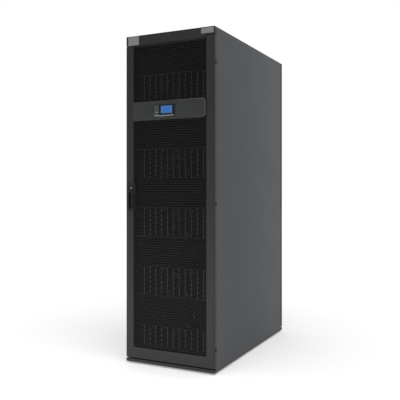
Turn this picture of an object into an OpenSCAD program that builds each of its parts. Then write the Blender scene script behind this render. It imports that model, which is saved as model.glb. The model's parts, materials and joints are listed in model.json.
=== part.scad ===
// In row cooling unit for a data centre: a chilled water unit in a tall perforated cabinet.
// Front is towards -Y, left is -X, and the floor is z = 0.

/* [Cabinet] */
// Width of the cabinet
cab_w = 600; // [580:10:700]
// Depth over both closed doors
cab_d = 1200; // [1150:10:1300]
// Height above the floor
cab_h = 2000; // [1960:10:2200]
// Gap under the skirt
skirt_gap = 10; // [6:1:20]
// Thickness of the panel sheet
sheet = 2; // [1.5:0.1:2.5]
// Side of the square corner posts
post_w = 40; // [36:1:44]
// Width of the beams and rails along the sides
rail_w = 20; // [16:1:24]
// Height of the base and top beams
beam_h = 40; // [36:1:46]
// Height of the space under the base frame
base_z = 68; // [66:1:74]
// Height of the header fascias over the doors
header_h = 59; // [50:1:70]
// Height of the step at the doors' hinge corners
step_h = 16; // [10:1:20]
// Height of the kick plates under the doors
kick_h = 18; // [14:1:22]
// Width of the left plate on the header
badge_left_w = 77; // [50:1:90]
// Height of the left plate on the header
badge_left_h = 55; // [30:1:55]
// Width of the right plate on the header
badge_right_w = 80; // [50:1:100]
// Height of the right plate on the header
badge_right_h = 32; // [16:1:36]
// Thickness of the header plates
badge_t = 1.2; // [0.8:0.1:2]

/* [Doors] */
// Thickness of the doors
door_t = 30; // [28:1:36]
// Gap behind a closed door
door_gap = 4; // [3:0.5:6]
// Gap between door and header
seam = 3; // [2:0.5:6]
// Gap between door and kick plate
foot_gap = 8; // [5:1:12]
// Width of the door stiles
stile_w = 53; // [50:1:58]
// Height of the door's top rail
top_rail_h = 4; // [4:1:30]
// Height of the door's bottom rail
bottom_rail_h = 64; // [50:1:90]
// Radius of the rounded upright edges
edge_r = 4; // [3:0.5:6]
// Width of the folded lip behind the door
lip_w = 14; // [12:1:16]
// Thickness of the perforated sheets
mesh_t = 1.5; // [1:0.1:2]
// Spacing of the holes in the perforated sheets
mesh_pitch = 40; // [36:1:60]
// Metal left between two holes
mesh_web = 6; // [4:0.5:10]
// Diameter of the hinge pins
hinge_pin_d = 6; // [5:0.5:7]
// Distance of the hinge axis from the side of the cabinet
hinge_inset = 8; // [7.5:0.5:10]
// Distance of the hinge axis from the front of the door
hinge_back = 13; // [12:0.5:14]

/* [Display] */
// Height of the bezel's lower edge above the floor
bezel_z = 1480; // [1300:10:1500]
// Height of the bezel across the door
bezel_h = 113; // [100:1:130]
// How far the bezel stands out of the door
bezel_out = 8; // [5:0.5:10]
// Radius of the bezel's right corners
bezel_r = 20; // [10:1:30]
// Width of the display housing
display_w = 140; // [130:1:160]
// Height of the display housing
display_h = 70; // [64:1:80]
// Width of the lit screen
screen_w = 78; // [60:1:78]
// Height of the lit screen
screen_h = 46; // [30:1:48]
// Diameter of the two display buttons
button_d = 6; // [4:0.5:7]
// Travel of the display buttons
button_travel = 1; // [0.5:0.1:1.5]

/* [Handles] */
// Height of the handle's middle above the floor
handle_z = 1018; // [900:10:1100]
// Width of the handle's dish
handle_w = 53; // [48:1:56]
// Height of the handle's dish
handle_h = 165; // [150:5:200]
// Thickness of the dish's rim
dish_t = 6; // [4:0.5:7]
// Width of the lever
lever_w = 26; // [22:1:30]
// Thickness of the lever
lever_t = 11; // [10:0.5:13]
// Diameter of the lock cylinder
lock_d = 18; // [14:1:20]
// Diameter of the handle's spindle
spindle_d = 12; // [10:1:14]

/* [Air guides] */
// Height of one air guide
guide_h = 179; // [160:1:200]
// Spacing of the vanes
vane_pitch = 40.5; // [36:0.5:42]
// Lean of the vanes from straight ahead
vane_angle = 29; // [15:1:30]
// Thickness of the vanes
vane_t = 1.5; // [1:0.1:2]

/* [Fans] */
// Diameter of the impellers
fan_d = 320; // [280:5:330]
// Gap between blade tips and ring
fan_tip = 6; // [4:1:10]
// Depth of the ring around an impeller
ring_l = 70; // [66:1:90]
// Diameter of the impeller's hub
hub_d = 110; // [90:5:130]
// Diameter of the motor shafts
shaft_d = 16; // [12:1:20]
// Diameter of the guard wire
wire_d = 5; // [4:0.5:6]

/* [Coil and water] */
// Depth of the coil
coil_t = 130; // [100:5:150]
// Height of the finned part of the coil
coil_h = 1600; // [1400:20:1640]
// Spacing of the coil's visible fins
fin_pitch = 12; // [10:1:20]
// Diameter of the coil tubes
tube_d = 16; // [12:1:18]
// Height between coil tubes joined by a bend
tube_step = 50; // [45:1:60]
// Diameter of the water pipes and the coil's headers
pipe_d = 35; // [28:1:38]
// Diameter of the water pipes' ends at the top
pipe_end_d = 42.2; // [33.7:0.1:44]
// Diameter of the condensate pipe
drain_d = 18; // [15:1:20]
// Diameter of the condensate pipe's end at the top
drain_end_d = 22; // [18:1:26]
// Depth of the drain pan
pan_h = 45; // [35:1:60]

/* [Filters and electrics] */
// Thickness of the air filters
filter_t = 44; // [30:1:46]
// Spacing of the filter pleats
pleat = 24; // [20:1:36]
// Width of the electrical box
ebox_w = 150; // [120:5:180]
// Depth of the electrical box
ebox_d = 220; // [160:10:240]
// Height of the electrical box
ebox_h = 520; // [400:20:600]
// Diameter of the main switch knob
knob_d = 48; // [36:2:60]

/* [Casters and feet] */
// Diameter of the caster wheels
wheel_d = 44; // [40:1:46]
// Width of the caster wheels
wheel_w = 22; // [18:1:26]
// Trail of the casters behind their swivel
trail = 18; // [14:1:22]
// Height of the wheels above the floor when the unit stands on its feet
wheel_lift = 2; // [1:0.5:4]
// Diameter of the levelling feet
foot_d = 46; // [36:1:50]
// Diameter of the feet's studs
stud_d = 12; // [10:1:16]

/* [Hidden] */
$fn = 48;

// Colours
paint = "#3c3f43";
paint_dark = "#232528";
black = "#17181a";
silver = "#b9bcc0";
steel = "#8f9398";
zinc = "#a5a9ad";
copper = "#b06a45";
blue = "#3f7fd0";

// Clearances: a shaft in its bore, bolted faces, loose neighbours, and the margin that makes cuts clean
run_fit = 0.08;
bolt_gap = 0.2;
air = 1;
cut = 1;

// Main levels and half sizes
w2 = cab_w / 2;
d2 = cab_d / 2;
body_y = d2 - door_t - door_gap;
in_x = w2 - sheet;
floor_z = base_z + beam_h + sheet;
base_top = base_z + beam_h;
top_z1 = cab_h - sheet;
top_z0 = top_z1 - beam_h;
post_y = body_y - post_w;
post_x = in_x - post_w;
door_z0 = skirt_gap + kick_h + foot_gap;
door_z1 = cab_h - header_h - seam;
step_z = door_z1 + step_h;
open_x = w2 - stile_w;
open_z0 = door_z0 + bottom_rail_h;
open_z1 = door_z1 - top_rail_h;
bezel_z1 = bezel_z + bezel_h;

function corner_x(n) = n % 2 == 0 ? 1 : -1;
function corner_y(n) = n < 2 ? -1 : 1;

// A block between two corner points
module block(low, high) {
    translate(low)
        cube(high - low);
}

// A cylinder along Y whose front end is at y
module rod_y(x, y, z, d, len) {
    translate([x, y, z])
        rotate([-90, 0, 0])
            cylinder(d = d, h = len);
}

// A cylinder along X whose left end is at x
module rod_x(x, y, z, d, len) {
    translate([x, y, z])
        rotate([0, 90, 0])
            cylinder(d = d, h = len);
}

// A flat shape drawn in X and Z, given a thickness from y towards +Y
module plate_y(y, t) {
    translate([0, y + t, 0])
        rotate([90, 0, 0])
            linear_extrude(height = t)
                children();
}

// A rectangle with rounded corners about the origin
module round_rect(w, h, r) {
    hull_w = w / 2 - r;
    hull_h = h / 2 - r;
    square([w, h - 2 * r], center = true);
    square([w - 2 * r, h], center = true);
    for (x = [-hull_w, hull_w], z = [-hull_h, hull_h])
        translate([x, z])
            circle(r = r);
}

module both_ends() {
    children();
    rotate([0, 0, 180])
        children();
}

// ---------- Cabinet ----------

caster_x = w2 - 85;
caster_y = body_y - 190;
cross_w = 80;
foot_x = w2 - 62;
foot_y = body_y - 82;
gusset = 84;
gusset_t = 8;
fixing_x = post_x + post_w / 2;
fixing_y = post_y + post_w / 2;
fixing_d = 11;
pipe_x = w2 - 55;
pipe_hole = 12;
supply_y = -215;
return_y = supply_y + 75;
riser_y = 60;
drain_x = -(w2 - 60);
drain_y = 60;
entry_w = 200;
entry_l = 120;
entry_y = [-330, 330];
front_y = -d2;

module base_frame() {
    color(paint_dark)
    difference() {
        union() {
            for (s = [-1, 1]) {
                block([-in_x, min(s * body_y, s * post_y), base_z],
                      [in_x, max(s * body_y, s * post_y), base_top]);
                block([min(s * in_x, s * (in_x - rail_w)), -body_y, base_z],
                      [max(s * in_x, s * (in_x - rail_w)), body_y, base_top]);
                block([-in_x, s * caster_y - cross_w / 2, base_z],
                      [in_x, s * caster_y + cross_w / 2, base_top]);
            }
            for (sx = [-1, 1], sy = [-1, 1]) {
                translate([sx * (in_x - gusset / 2), sy * (body_y - gusset / 2 - post_w / 2),
                           base_z + gusset_t / 2])
                    cube([gusset, gusset + post_w, gusset_t], center = true);
                translate([sx * foot_x, sy * foot_y, base_z])
                    cylinder(d = stud_d + 14, h = beam_h);
            }
            block([-in_x, -body_y, base_top], [in_x, body_y, floor_z]);
        }
        for (sx = [-1, 1], sy = [-1, 1]) {
            translate([sx * foot_x, sy * foot_y, base_z - cut])
                cylinder(d = stud_d + 2 * run_fit, h = beam_h + sheet + 2 * cut);
            translate([sx * caster_x, sy * caster_y, base_z - cut])
                cylinder(d = kingpin_d + 2 * run_fit, h = beam_h / 2 + cut);
        }
    }
}

// A kick plate: a folded strip whose flange stands against the base beam
module kick_plate() {
    color(paint)
    union() {
        translate([0, 0, skirt_gap])
            linear_extrude(height = kick_h)
                difference() {
                    door_plan(fold_y - front_y, edge_r);
                    door_plan_inside(fold_y - front_y);
                }
        block([-in_x - sheet / 2, front_y + sheet / 2, skirt_gap + kick_h - sheet],
              [in_x + sheet / 2, fold_y, skirt_gap + kick_h]);
        block([-in_x + post_w, fold_y - cut, skirt_gap + kick_h - sheet],
              [in_x - post_w, -body_y - bolt_gap, skirt_gap + kick_h]);
        block([-in_x + post_w, -body_y - sheet, skirt_gap + kick_h - sheet],
              [in_x - post_w, -body_y - bolt_gap, base_z + beam_h / 2]);
    }
}

module kick_plates() {
    both_ends()
        kick_plate();
}

// Four corner posts and two pairs of side rails, each a separate profile
module posts_and_rails() {
    color(paint_dark) {
        for (sx = [-1, 1], sy = [-1, 1])
            translate([sx * (post_x + post_w / 2), sy * (post_y + post_w / 2), (floor_z + top_z0) / 2])
                cube([post_w, post_w, top_z0 - floor_z - 2 * bolt_gap], center = true);
        for (sx = [-1, 1], z = rail_levels)
            translate([sx * (in_x - rail_w / 2), 0, z + beam_h / 2])
                cube([rail_w, 2 * (post_y - bolt_gap), beam_h], center = true);
    }
}

rail_levels = [floor_z + (top_z0 - floor_z) / 3, floor_z + 2 * (top_z0 - floor_z) / 3];
module top_frame() {
    color(paint_dark)
    difference() {
        block([-in_x, -body_y, top_z0], [in_x, body_y, top_z1]);
        block([-(in_x - rail_w), -post_y, top_z0 - cut], [in_x - rail_w, post_y, top_z1 + cut]);
        fixing_holes(top_z0, beam_h);
    }
}

module fixing_holes(z, h) {
    for (sx = [-1, 1], sy = [-1, 1])
        translate([sx * fixing_x, sy * fixing_y, z - cut])
            cylinder(d = fixing_d, h = h + 2 * cut);
}

// A side panel with a folded edge in front and behind
module side_panel() {
    color(paint)
    union() {
        block([in_x, -body_y, skirt_gap], [w2, body_y, top_z1 - bolt_gap]);
        for (s = [-1, 1])
            block([in_x - lip_w, s * body_y + (s - 1) * sheet / 2, skirt_gap],
                  [w2, s * body_y + (s + 1) * sheet / 2, top_z1 - bolt_gap]);
    }
}

module right_side_panel() {
    side_panel();
}

module left_side_panel() {
    mirror([1, 0, 0])
        side_panel();
}

module top_panel() {
    color(paint)
    difference() {
        block([-w2, -body_y, top_z1], [w2, body_y, cab_h]);
        fixing_holes(top_z1, sheet);
        for (y = [riser_y, return_y])
            translate([pipe_x, y, top_z1 - cut])
                cylinder(d = pipe_end_d + 2 * pipe_hole, h = sheet + 2 * cut);
        translate([drain_x, drain_y, top_z1 - cut])
            cylinder(d = drain_end_d + 2 * pipe_hole, h = sheet + 2 * cut);
        for (y = entry_y)
            block([-entry_w / 2, y - entry_l / 2, top_z1 - cut], [entry_w / 2, y + entry_l / 2, cab_h + cut]);
    }
}

// Blank plates that close the cable openings from below
module entry_covers() {
    color(paint)
    for (y = entry_y)
        block([-entry_w / 2 - 20, y - entry_l / 2 - 20, top_z1 - bolt_gap - sheet],
              [entry_w / 2 + 20, y + entry_l / 2 + 20, top_z1 - bolt_gap]);
}

// The plan of a door or skirt whose front is at y = front_y: rounded at the front corners
module door_plan(t, r) {
    translate([-w2, front_y + r])
        square([cab_w, t - r]);
    translate([-w2 + r, front_y])
        square([cab_w - 2 * r, r + cut / 2]);
    for (s = [-1, 1])
        translate([s * (w2 - r), front_y + r])
            circle(r = r);
}

module door_plan_inside(t) {
    translate([-in_x, front_y + sheet])
        square([2 * in_x, t]);
}

fold_y = -body_y - sheet - bolt_gap;

// A header: a folded trough, cut back over the door's hinge corner, whose top strip reaches the top panel
module header_fascia() {
    color(paint)
    union() {
        difference() {
            translate([0, 0, cab_h - header_h])
                linear_extrude(height = header_h)
                    door_plan(fold_y - front_y, edge_r);
            block([open_x, front_y - cut, cab_h - header_h - cut],
                  [w2 + cut, fold_y + cut, step_z + seam]);
            block([-in_x, front_y + sheet, cab_h - header_h + sheet],
                  [open_x - sheet, fold_y + cut, cab_h - sheet]);
            block([-in_x, front_y + sheet, step_z + seam + sheet], [in_x, fold_y + cut, cab_h - sheet]);
        }
        block([-w2, fold_y - cut, cab_h - sheet], [w2, -body_y - bolt_gap, cab_h]);
    }
}

module header_fascias() {
    both_ends()
        header_fascia();
}

// Two blank plates on the front header
module badge_plates() {
    color(silver)
    for (b = [[-(w2 - 15 - badge_left_w / 2), badge_left_w, badge_left_h, 2],
              [w2 - 6 - badge_right_w / 2, badge_right_w, badge_right_h, 5]])
        plate_y(front_y - badge_t, badge_t)
            translate([b[0], cab_h - b[3] - b[2] / 2])
                round_rect(b[1], b[2], 3);
}

// ---------- Hinges ----------

hinge_x = w2 - hinge_inset;
hinge_y = front_y + hinge_back;
plate_t = 5;
plate_r = 5;
sleeve_h = 30;
hinge_fit = 0.3;
swing_r = hinge_x - open_x - air / 2;
swing_y = front_y + door_t - hinge_y;
step_x = hinge_x - sqrt(swing_r * swing_r - swing_y * swing_y);
hinge_levels = [door_z0 + 110, (door_z0 + door_z1) / 2, door_z1 - 110 - sleeve_h];

// Brackets on the posts, each with an upright pin
module hinge_brackets() {
    color(zinc)
    both_ends()
        for (z = hinge_levels) {
            translate([hinge_x, hinge_y, z])
                cylinder(r = plate_r, h = plate_t);
            block([hinge_x - plate_r, hinge_y, z], [hinge_x + plate_r - hinge_fit, fold_y, z + plate_t]);
            translate([hinge_x, hinge_y, z])
                cylinder(d = hinge_pin_d, h = plate_t + sleeve_h - 2);
            block([hinge_x - 24, fold_y - plate_t / 2, z - 8],
                  [hinge_x + plate_r - hinge_fit, fold_y, z + plate_t + 8]);
        }
}

// ---------- Doors ----------

sleeve_half = 6;

// A folded door with a raised hinge corner, notches for the brackets and sleeves for the pins
module door_frame() {
    color(paint)
    difference() {
        union() {
            difference() {
                translate([0, 0, door_z0])
                    linear_extrude(height = step_z - door_z0)
                        difference() {
                            door_plan(door_t, edge_r);
                            door_plan_inside(door_t - 2 * sheet);
                            translate([-in_x + lip_w, front_y + sheet])
                                square([2 * (in_x - lip_w), door_t]);
                        }
                block([-w2 - cut, front_y - cut, door_z1], [step_x, front_y + door_t + cut, step_z + cut]);
                block([-open_x, front_y - cut, open_z0], [open_x, front_y + sheet + cut, open_z1]);
            }
            block([-in_x - sheet / 2, front_y + sheet / 2, door_z0],
                  [in_x + sheet / 2, front_y + door_t, door_z0 + sheet]);
            block([-in_x - sheet / 2, front_y + sheet / 2, door_z1 - sheet],
                  [step_x + sheet, front_y + door_t, door_z1]);
            block([step_x, front_y + sheet / 2, door_z1 - sheet], [step_x + sheet, front_y + door_t, step_z]);
            block([step_x, front_y + sheet / 2, step_z - sheet],
                  [in_x + sheet / 2, front_y + door_t, step_z]);
            for (z = hinge_levels)
                block([hinge_x - sleeve_half, hinge_y - sleeve_half, z + plate_t + hinge_fit],
                      [in_x + sheet / 2, hinge_y + sleeve_half, z + plate_t + hinge_fit + sleeve_h]);
        }
        for (z = hinge_levels) {
            block([hinge_x - 26, hinge_y - plate_r - 4 * air, z - 10],
                  [w2 + cut, front_y + door_t + cut, z + plate_t + hinge_fit]);
            block([hinge_x - 26, hinge_y + plate_r + 4, z - 10],
                  [w2 + cut, front_y + door_t + cut, z + plate_t + 10]);
            translate([hinge_x, hinge_y, z])
                cylinder(d = hinge_pin_d + 2 * run_fit, h = plate_t + sleeve_h + cut);
        }
        handle_cutout();
    }
}

module front_door_frame() {
    door_frame();
}

module rear_door_frame() {
    rotate([0, 0, 180])
        door_frame();
}

// ---------- Perforated sheets ----------

mesh_hold = 7;
mesh_y = front_y + sheet;
mesh_top = min(open_z1 + mesh_hold, door_z1 - sheet - bolt_gap);

// Round holes in staggered rows over a w by h area, with a plain border
module hole_field(w, h, border) {
    row = mesh_pitch * sin(60);
    nx = floor((w - 2 * border - (mesh_pitch - mesh_web)) / mesh_pitch - 0.5);
    nz = floor((h - 2 * border - (mesh_pitch - mesh_web)) / row);
    for (j = [0:nz], i = [0:nx])
        translate([(i - nx / 2 + (j % 2 == 0 ? -0.25 : 0.25)) * mesh_pitch, (j - nz / 2) * row])
            circle(d = mesh_pitch - mesh_web, $fn = 24);
}

// A perforated sheet behind the door face between two levels
module mesh_sheet(z0, z1) {
    color(black)
    plate_y(mesh_y, mesh_t)
        translate([0, (z0 + z1) / 2])
            difference() {
                square([2 * (open_x + mesh_hold), z1 - z0], center = true);
                hole_field(2 * open_x, z1 - z0, mesh_hold + mesh_web);
                if (z0 < handle_z && z1 > handle_z)
                    translate([handle_x, handle_z - (z0 + z1) / 2])
                        square([dish_body_w + 2 * air, dish_body_h + 2 * air], center = true);
            }
}

// The front sheet is in two: above and below the bezel
module front_mesh() {
    mesh_sheet(open_z0 - mesh_hold, bezel_z + bezel_wall);
    mesh_sheet(bezel_z1 - bezel_wall, mesh_top);
}

module rear_mesh() {
    rotate([0, 0, 180])
        mesh_sheet(open_z0 - mesh_hold, mesh_top);
}

// ---------- Display ----------

display_x = -25;
display_z = bezel_z + 55;
bezel_wall = 3;
bezel_edge = 3;
bezel_back = 12;
bezel_mid = (bezel_z + bezel_z1) / 2;
crown = bezel_out - bezel_edge;
crown_r = (pow(bezel_h / 2, 2) + pow(crown, 2)) / (2 * crown);
display_y = front_y - bezel_out - 1.5;
display_t = 20;
screen_x = display_x + 14;
screen_z = display_z + 4;
screen_t = 1.5;
screen_sink = 0.8;
button_x = [display_x - 60, display_x - 47];
button_z = display_z - 11;
button_l = 6;
button_out = 1.2;

// The bezel's crowned section, extruded across the door, with its right corners rounded
module bezel_solid(inset, back) {
    intersection() {
        translate([-open_x + inset, 0, 0])
            rotate([90, 0, 90])
                linear_extrude(height = 2 * (open_x - inset) - 4)
                    intersection() {
                        translate([front_y - bezel_out + crown_r, bezel_mid])
                            circle(r = crown_r - inset, $fn = 180);
                        translate([front_y - bezel_out, bezel_z + inset])
                            square([bezel_out + back, bezel_h - 2 * inset]);
                    }
        translate([0, front_y + back + cut, 0])
            rotate([90, 0, 0])
                linear_extrude(height = bezel_out + back + 2 * cut)
                    bezel_outline(inset);
    }
}

module bezel_outline(inset) {
    r = bezel_r - inset;
    x1 = open_x - 4 - inset;
    translate([-open_x, bezel_z + inset])
        square([open_x + x1 - r, bezel_h - 2 * inset]);
    translate([0, bezel_z + inset + r])
        square([x1, bezel_h - 2 * inset - 2 * r]);
    for (z = [bezel_z + inset + r, bezel_z1 - inset - r])
        translate([x1 - r, z])
            circle(r = r);
}

module display_bezel() {
    color(paint)
    difference() {
        bezel_solid(0, sheet);
        difference() {
            bezel_solid(bezel_wall, sheet + cut);
            block([display_x - display_w / 2 - 4, front_y - 20, display_z - display_h / 2 - 4],
                  [display_x + display_w / 2 + 4, front_y + 20, display_z + display_h / 2 + 4]);
        }
        block([display_x - display_w / 2 - bolt_gap, front_y - 20, display_z - display_h / 2 - bolt_gap],
              [display_x + display_w / 2 + bolt_gap, front_y + 20, display_z + display_h / 2 + bolt_gap]);
    }
}

module display_housing() {
    color(black)
    difference() {
        plate_y(display_y, display_t)
            translate([display_x, display_z])
                round_rect(display_w, display_h, 4);
        block([screen_x - screen_w / 2, display_y - cut, screen_z - screen_h / 2],
              [screen_x + screen_w / 2, display_y + screen_sink + screen_t, screen_z + screen_h / 2]);
        for (x = button_x)
            rod_y(x, display_y - cut, button_z, button_d + 2 * run_fit, button_l + button_travel + cut);
    }
}

module display_screen() {
    color(blue)
        block([screen_x - screen_w / 2 + bolt_gap, display_y + screen_sink,
               screen_z - screen_h / 2 + bolt_gap],
              [screen_x + screen_w / 2 - bolt_gap, display_y + screen_sink + screen_t,
               screen_z + screen_h / 2 - bolt_gap]);
}

module display_button(n) {
    color(silver)
        rod_y(button_x[n], display_y - button_out, button_z, button_d, button_l);
}

module display_button_1() {
    display_button(0);
}

module display_button_2() {
    display_button(1);
}

// ---------- Swing handles ----------

handle_x = -(w2 - 15 - handle_w / 2);
dish_body_w = handle_w - 11;
dish_body_h = handle_h - 15;
dish_body_t = 16;
recess_w = 19;
recess_h = handle_h - 67;
recess_t = 13;
lever_x = handle_x + 8.5;
lever_z = handle_z - handle_h / 2 + 16.5;
lever_l = handle_h - 69;
lever_gap = 0.3;
lever_y = front_y - dish_t - lever_gap - lever_t / 2;
lever_pin_d = 5;
tab_w = 8;
tab_slot = tab_w + 2 * lever_gap;
lock_z = handle_z + handle_h / 2 - 28.5;
lock_ring = 10;
lock_l = 18;
latch_l = 34;
latch_t = 3;
latch_y = front_y + door_t - sheet - latch_t - 1.5;

module handle_cutout() {
    block([handle_x - dish_body_w / 2 - air / 2, front_y - cut, handle_z - dish_body_h / 2 - air / 2],
          [handle_x + dish_body_w / 2 + air / 2, front_y + sheet + cut,
           handle_z + dish_body_h / 2 + air / 2]);
}

module handle_dish() {
    color(black)
    difference() {
        union() {
            plate_y(front_y - dish_t, dish_t)
                translate([handle_x, handle_z])
                    round_rect(handle_w, handle_h, 12);
            plate_y(front_y - cut, dish_body_t + cut)
                translate([handle_x, handle_z])
                    square([dish_body_w, dish_body_h], center = true);
            rod_y(handle_x, front_y - dish_t - 2, lock_z, lock_d + lock_ring, cut + 2);
        }
        plate_y(front_y - dish_t - cut, dish_t + recess_t + cut)
            translate([handle_x - recess_w / 2, lever_z - 7 + recess_h / 2])
                round_rect(recess_w, recess_h, 5);
        rod_y(lever_x, front_y - dish_t - cut, lever_z,
              spindle_d + 2 * run_fit, dish_t + dish_body_t + 2 * cut);
        rod_y(handle_x, front_y - dish_t - 2 - cut, lock_z, lock_d + 2 * run_fit, lock_l + cut);
    }
}

// The spindle with its front tab for the lever and its latch tongue behind
module handle_hub() {
    color(zinc)
    difference() {
        union() {
            rod_y(lever_x, front_y - dish_t - lever_gap, lever_z, spindle_d,
                  latch_y + latch_t - front_y + dish_t + lever_gap);
            block([lever_x - tab_w / 2, lever_y, lever_z - lever_t / 2],
                  [lever_x + tab_w / 2, front_y - dish_t - lever_gap / 2, lever_z + lever_t / 2]);
            rod_x(lever_x - tab_w / 2, lever_y, lever_z, lever_t, tab_w);
            block([lever_x - latch_l, latch_y, lever_z - spindle_d / 2],
                  [lever_x, latch_y + latch_t, lever_z + spindle_d / 2]);
        }
        rod_x(lever_x - tab_w, lever_y, lever_z, lever_pin_d + 2 * run_fit, 2 * tab_w);
    }
}

// The lever and the pin pressed into it
module handle_lever() {
    color(black)
    difference() {
        union() {
            block([lever_x - lever_w / 2, lever_y - lever_t / 2, lever_z],
                  [lever_x + lever_w / 2, lever_y + lever_t / 2, lever_z + lever_l - lever_w / 2]);
            rod_x(lever_x - lever_w / 2, lever_y, lever_z, lever_t, lever_w);
            plate_y(lever_y - lever_t / 2, lever_t)
                translate([lever_x, lever_z + lever_l - lever_w / 2])
                    circle(d = lever_w);
        }
        block([lever_x - tab_slot / 2, lever_y - lever_t, lever_z - lever_t],
              [lever_x + tab_slot / 2, lever_y + lever_t, lever_z + lever_t * 0.75]);
    }
    color(steel)
        rod_x(lever_x - lever_w / 2 + 2, lever_y, lever_z, lever_pin_d, lever_w - 4);
}

module lock_cylinder() {
    color(silver)
    difference() {
        rod_y(handle_x, front_y - dish_t - 3, lock_z, lock_d, lock_l);
        block([handle_x - 1.2, front_y - dish_t - 3 - cut, lock_z - 4],
              [handle_x + 1.2, front_y - dish_t, lock_z + 4]);
    }
}

module front_handle_dish() {
    handle_dish();
}

module front_handle_hub() {
    handle_hub();
}

module front_handle_lever() {
    handle_lever();
}

module front_lock() {
    lock_cylinder();
}

module rear_handle_dish() {
    rotate([0, 0, 180])
        handle_dish();
}

module rear_handle_hub() {
    rotate([0, 0, 180])
        handle_hub();
}

module rear_handle_lever() {
    rotate([0, 0, 180])
        handle_lever();
}

module rear_lock() {
    rotate([0, 0, 180])
        lock_cylinder();
}

// ---------- Air guides and fans ----------

guide_w = 2 * (post_x - air);
guide_d = post_w - air;
guide_y = -body_y + air;
guide_wall = 1.5;
guide_top = top_z0 - 15;
display_bay = 95;
// Lower edges and heights of the guides, from the top down; the lowest is cut to what is left
upper_guides = [for (n = [0:1]) guide_top - (n + 1) * guide_h];
lower_top = guide_top - 2 * guide_h - display_bay;
lower_count = ceil((lower_top - floor_z) / guide_h);
lower_guides = [for (n = [0:lower_count - 1]) max(lower_top - (n + 1) * guide_h, floor_z + bolt_gap)];
guide_levels = concat(upper_guides, lower_guides);
guide_tops = concat([for (z = upper_guides) z + guide_h],
                    [for (n = [0:lower_count - 1]) lower_top - n * guide_h]);
vane_count = floor((guide_w - 30) / vane_pitch / 2);

// One guide: a thin frame with upright vanes that lean to the left or right
module air_guide(z0, z1, lean) {
    color(paint_dark)
    translate([0, guide_y, z0]) {
        linear_extrude(height = z1 - z0 - bolt_gap) {
            for (n = [-vane_count:vane_count])
                translate([n * vane_pitch, guide_d / 2])
                    rotate(lean * vane_angle)
                        square([vane_t, (guide_d - 2) / cos(vane_angle) - vane_t], center = true);
            for (s = [-1, 1])
                translate([s * (guide_w / 2 - guide_wall / 2), guide_d / 2])
                    square([guide_wall, guide_d], center = true);
        }
        for (z = [0, z1 - z0 - bolt_gap - guide_wall])
            translate([-guide_w / 2, 0, z])
                cube([guide_w, guide_d, guide_wall]);
    }
}

module air_guides() {
    for (n = [0:len(guide_levels) - 1])
        air_guide(guide_levels[n], guide_tops[n], n % 2 == 0 ? -1 : 1);
}

fan_pitch = (top_z0 - floor_z) / 5;
ring_in = fan_d + 2 * fan_tip;
ring_out = ring_in + 2 * sheet;
function fan_z(n) = floor_z + (n - 0.5) * fan_pitch;
wall_x = in_x - rail_w - bolt_gap;
wall_y = -post_y;
impeller_y = wall_y + 8;
hub_l = 56;
motor_d = hub_d - 6;
motor_y = wall_y + ring_l;
motor_l = 60;
arm_w = 12;
arm_t = 6;

module fan_wall() {
    color(paint_dark)
    difference() {
        union() {
            block([-wall_x, wall_y, floor_z + bolt_gap], [wall_x, wall_y + sheet, top_z0 - bolt_gap]);
            for (n = [1:5])
                rod_y(0, wall_y + sheet / 2, fan_z(n), ring_out, ring_l - sheet / 2);
        }
        for (n = [1:5])
            rod_y(0, wall_y - cut, fan_z(n), ring_in, ring_l + 2 * cut);
    }
}

// Motors, each on four arms that rest on its ring
module fan_motors() {
    color(paint_dark)
    for (n = [1:5])
        translate([0, 0, fan_z(n)])
            difference() {
                union() {
                    rod_y(0, motor_y, 0, motor_d, motor_l);
                    rod_y(0, motor_y + motor_l - cut, 0, motor_d * 0.7, 12);
                    for (a = [0, 90])
                        rotate([0, 45 + a, 0])
                            translate([0, motor_y + arm_t / 2, 0])
                                cube([ring_out, arm_t, arm_w], center = true);
                }
                rod_y(0, motor_y - cut, 0, shaft_d + 2 * run_fit, motor_l / 2 + cut);
            }
}

guard_y = motor_y + arm_t + wire_d / 2;
guard_in = motor_d / 2 + 14;
guard_radii = [guard_in + wire_d, (guard_in + ring_in / 2) / 2, ring_in / 2 - wire_d];

// Wire guards behind the fans: straight wires on the motor's arms, and rings on the wires
module fan_guards() {
    color(steel)
    for (n = [1:5])
        translate([0, guard_y, fan_z(n)])
            rotate([-90, 0, 0]) {
                for (r = guard_radii)
                    translate([0, 0, wire_d / 2 + bolt_gap])
                        linear_extrude(height = wire_d)
                            difference() {
                                circle(r = r + wire_d / 2);
                                circle(r = r - wire_d / 2);
                            }
                for (a = [0:90:270])
                    rotate([0, 0, a])
                        rotate([0, 90, 0])
                            translate([0, 0, guard_in])
                                cylinder(d = wire_d, h = ring_out / 2 - guard_in);
            }
}

blade_count = 7;
blade_pitch = 34;
blade_chord = 92;
blade_r = 95;
blade_t = 2.5;
blade_root = hub_d / 2 - 12;

// A curved blade section: part of a ring, with its chord along X
module blade_section() {
    sag = blade_r - sqrt(pow(blade_r, 2) - pow(blade_chord / 2, 2));
    translate([0, sag / 2 - blade_r])
        intersection() {
            difference() {
                circle(r = blade_r, $fn = 96);
                circle(r = blade_r - blade_t, $fn = 96);
            }
            translate([-blade_chord / 2, 0])
                square([blade_chord, 2 * blade_r]);
        }
}

// Hub, curved blades trimmed to a round tip line, and the motor's shaft
module fan_impeller(n) {
    translate([0, impeller_y, fan_z(n)]) {
        color(black)
        union() {
            rod_y(0, 0, 0, hub_d, hub_l);
            rod_y(0, -3, 0, hub_d - 20, 4);
            intersection() {
                rod_y(0, 0, 0, fan_d, hub_l);
                for (b = [0:blade_count - 1])
                    rotate([0, b * 360 / blade_count, 0])
                        translate([0, hub_l / 2, blade_root])
                            linear_extrude(height = fan_d / 2 - blade_root)
                                rotate(blade_pitch)
                                    blade_section();
            }
            rod_y(0, hub_l - cut, 0, shaft_d, motor_y - impeller_y - hub_l + motor_l / 2 - cut);
        }
    }
}

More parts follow.
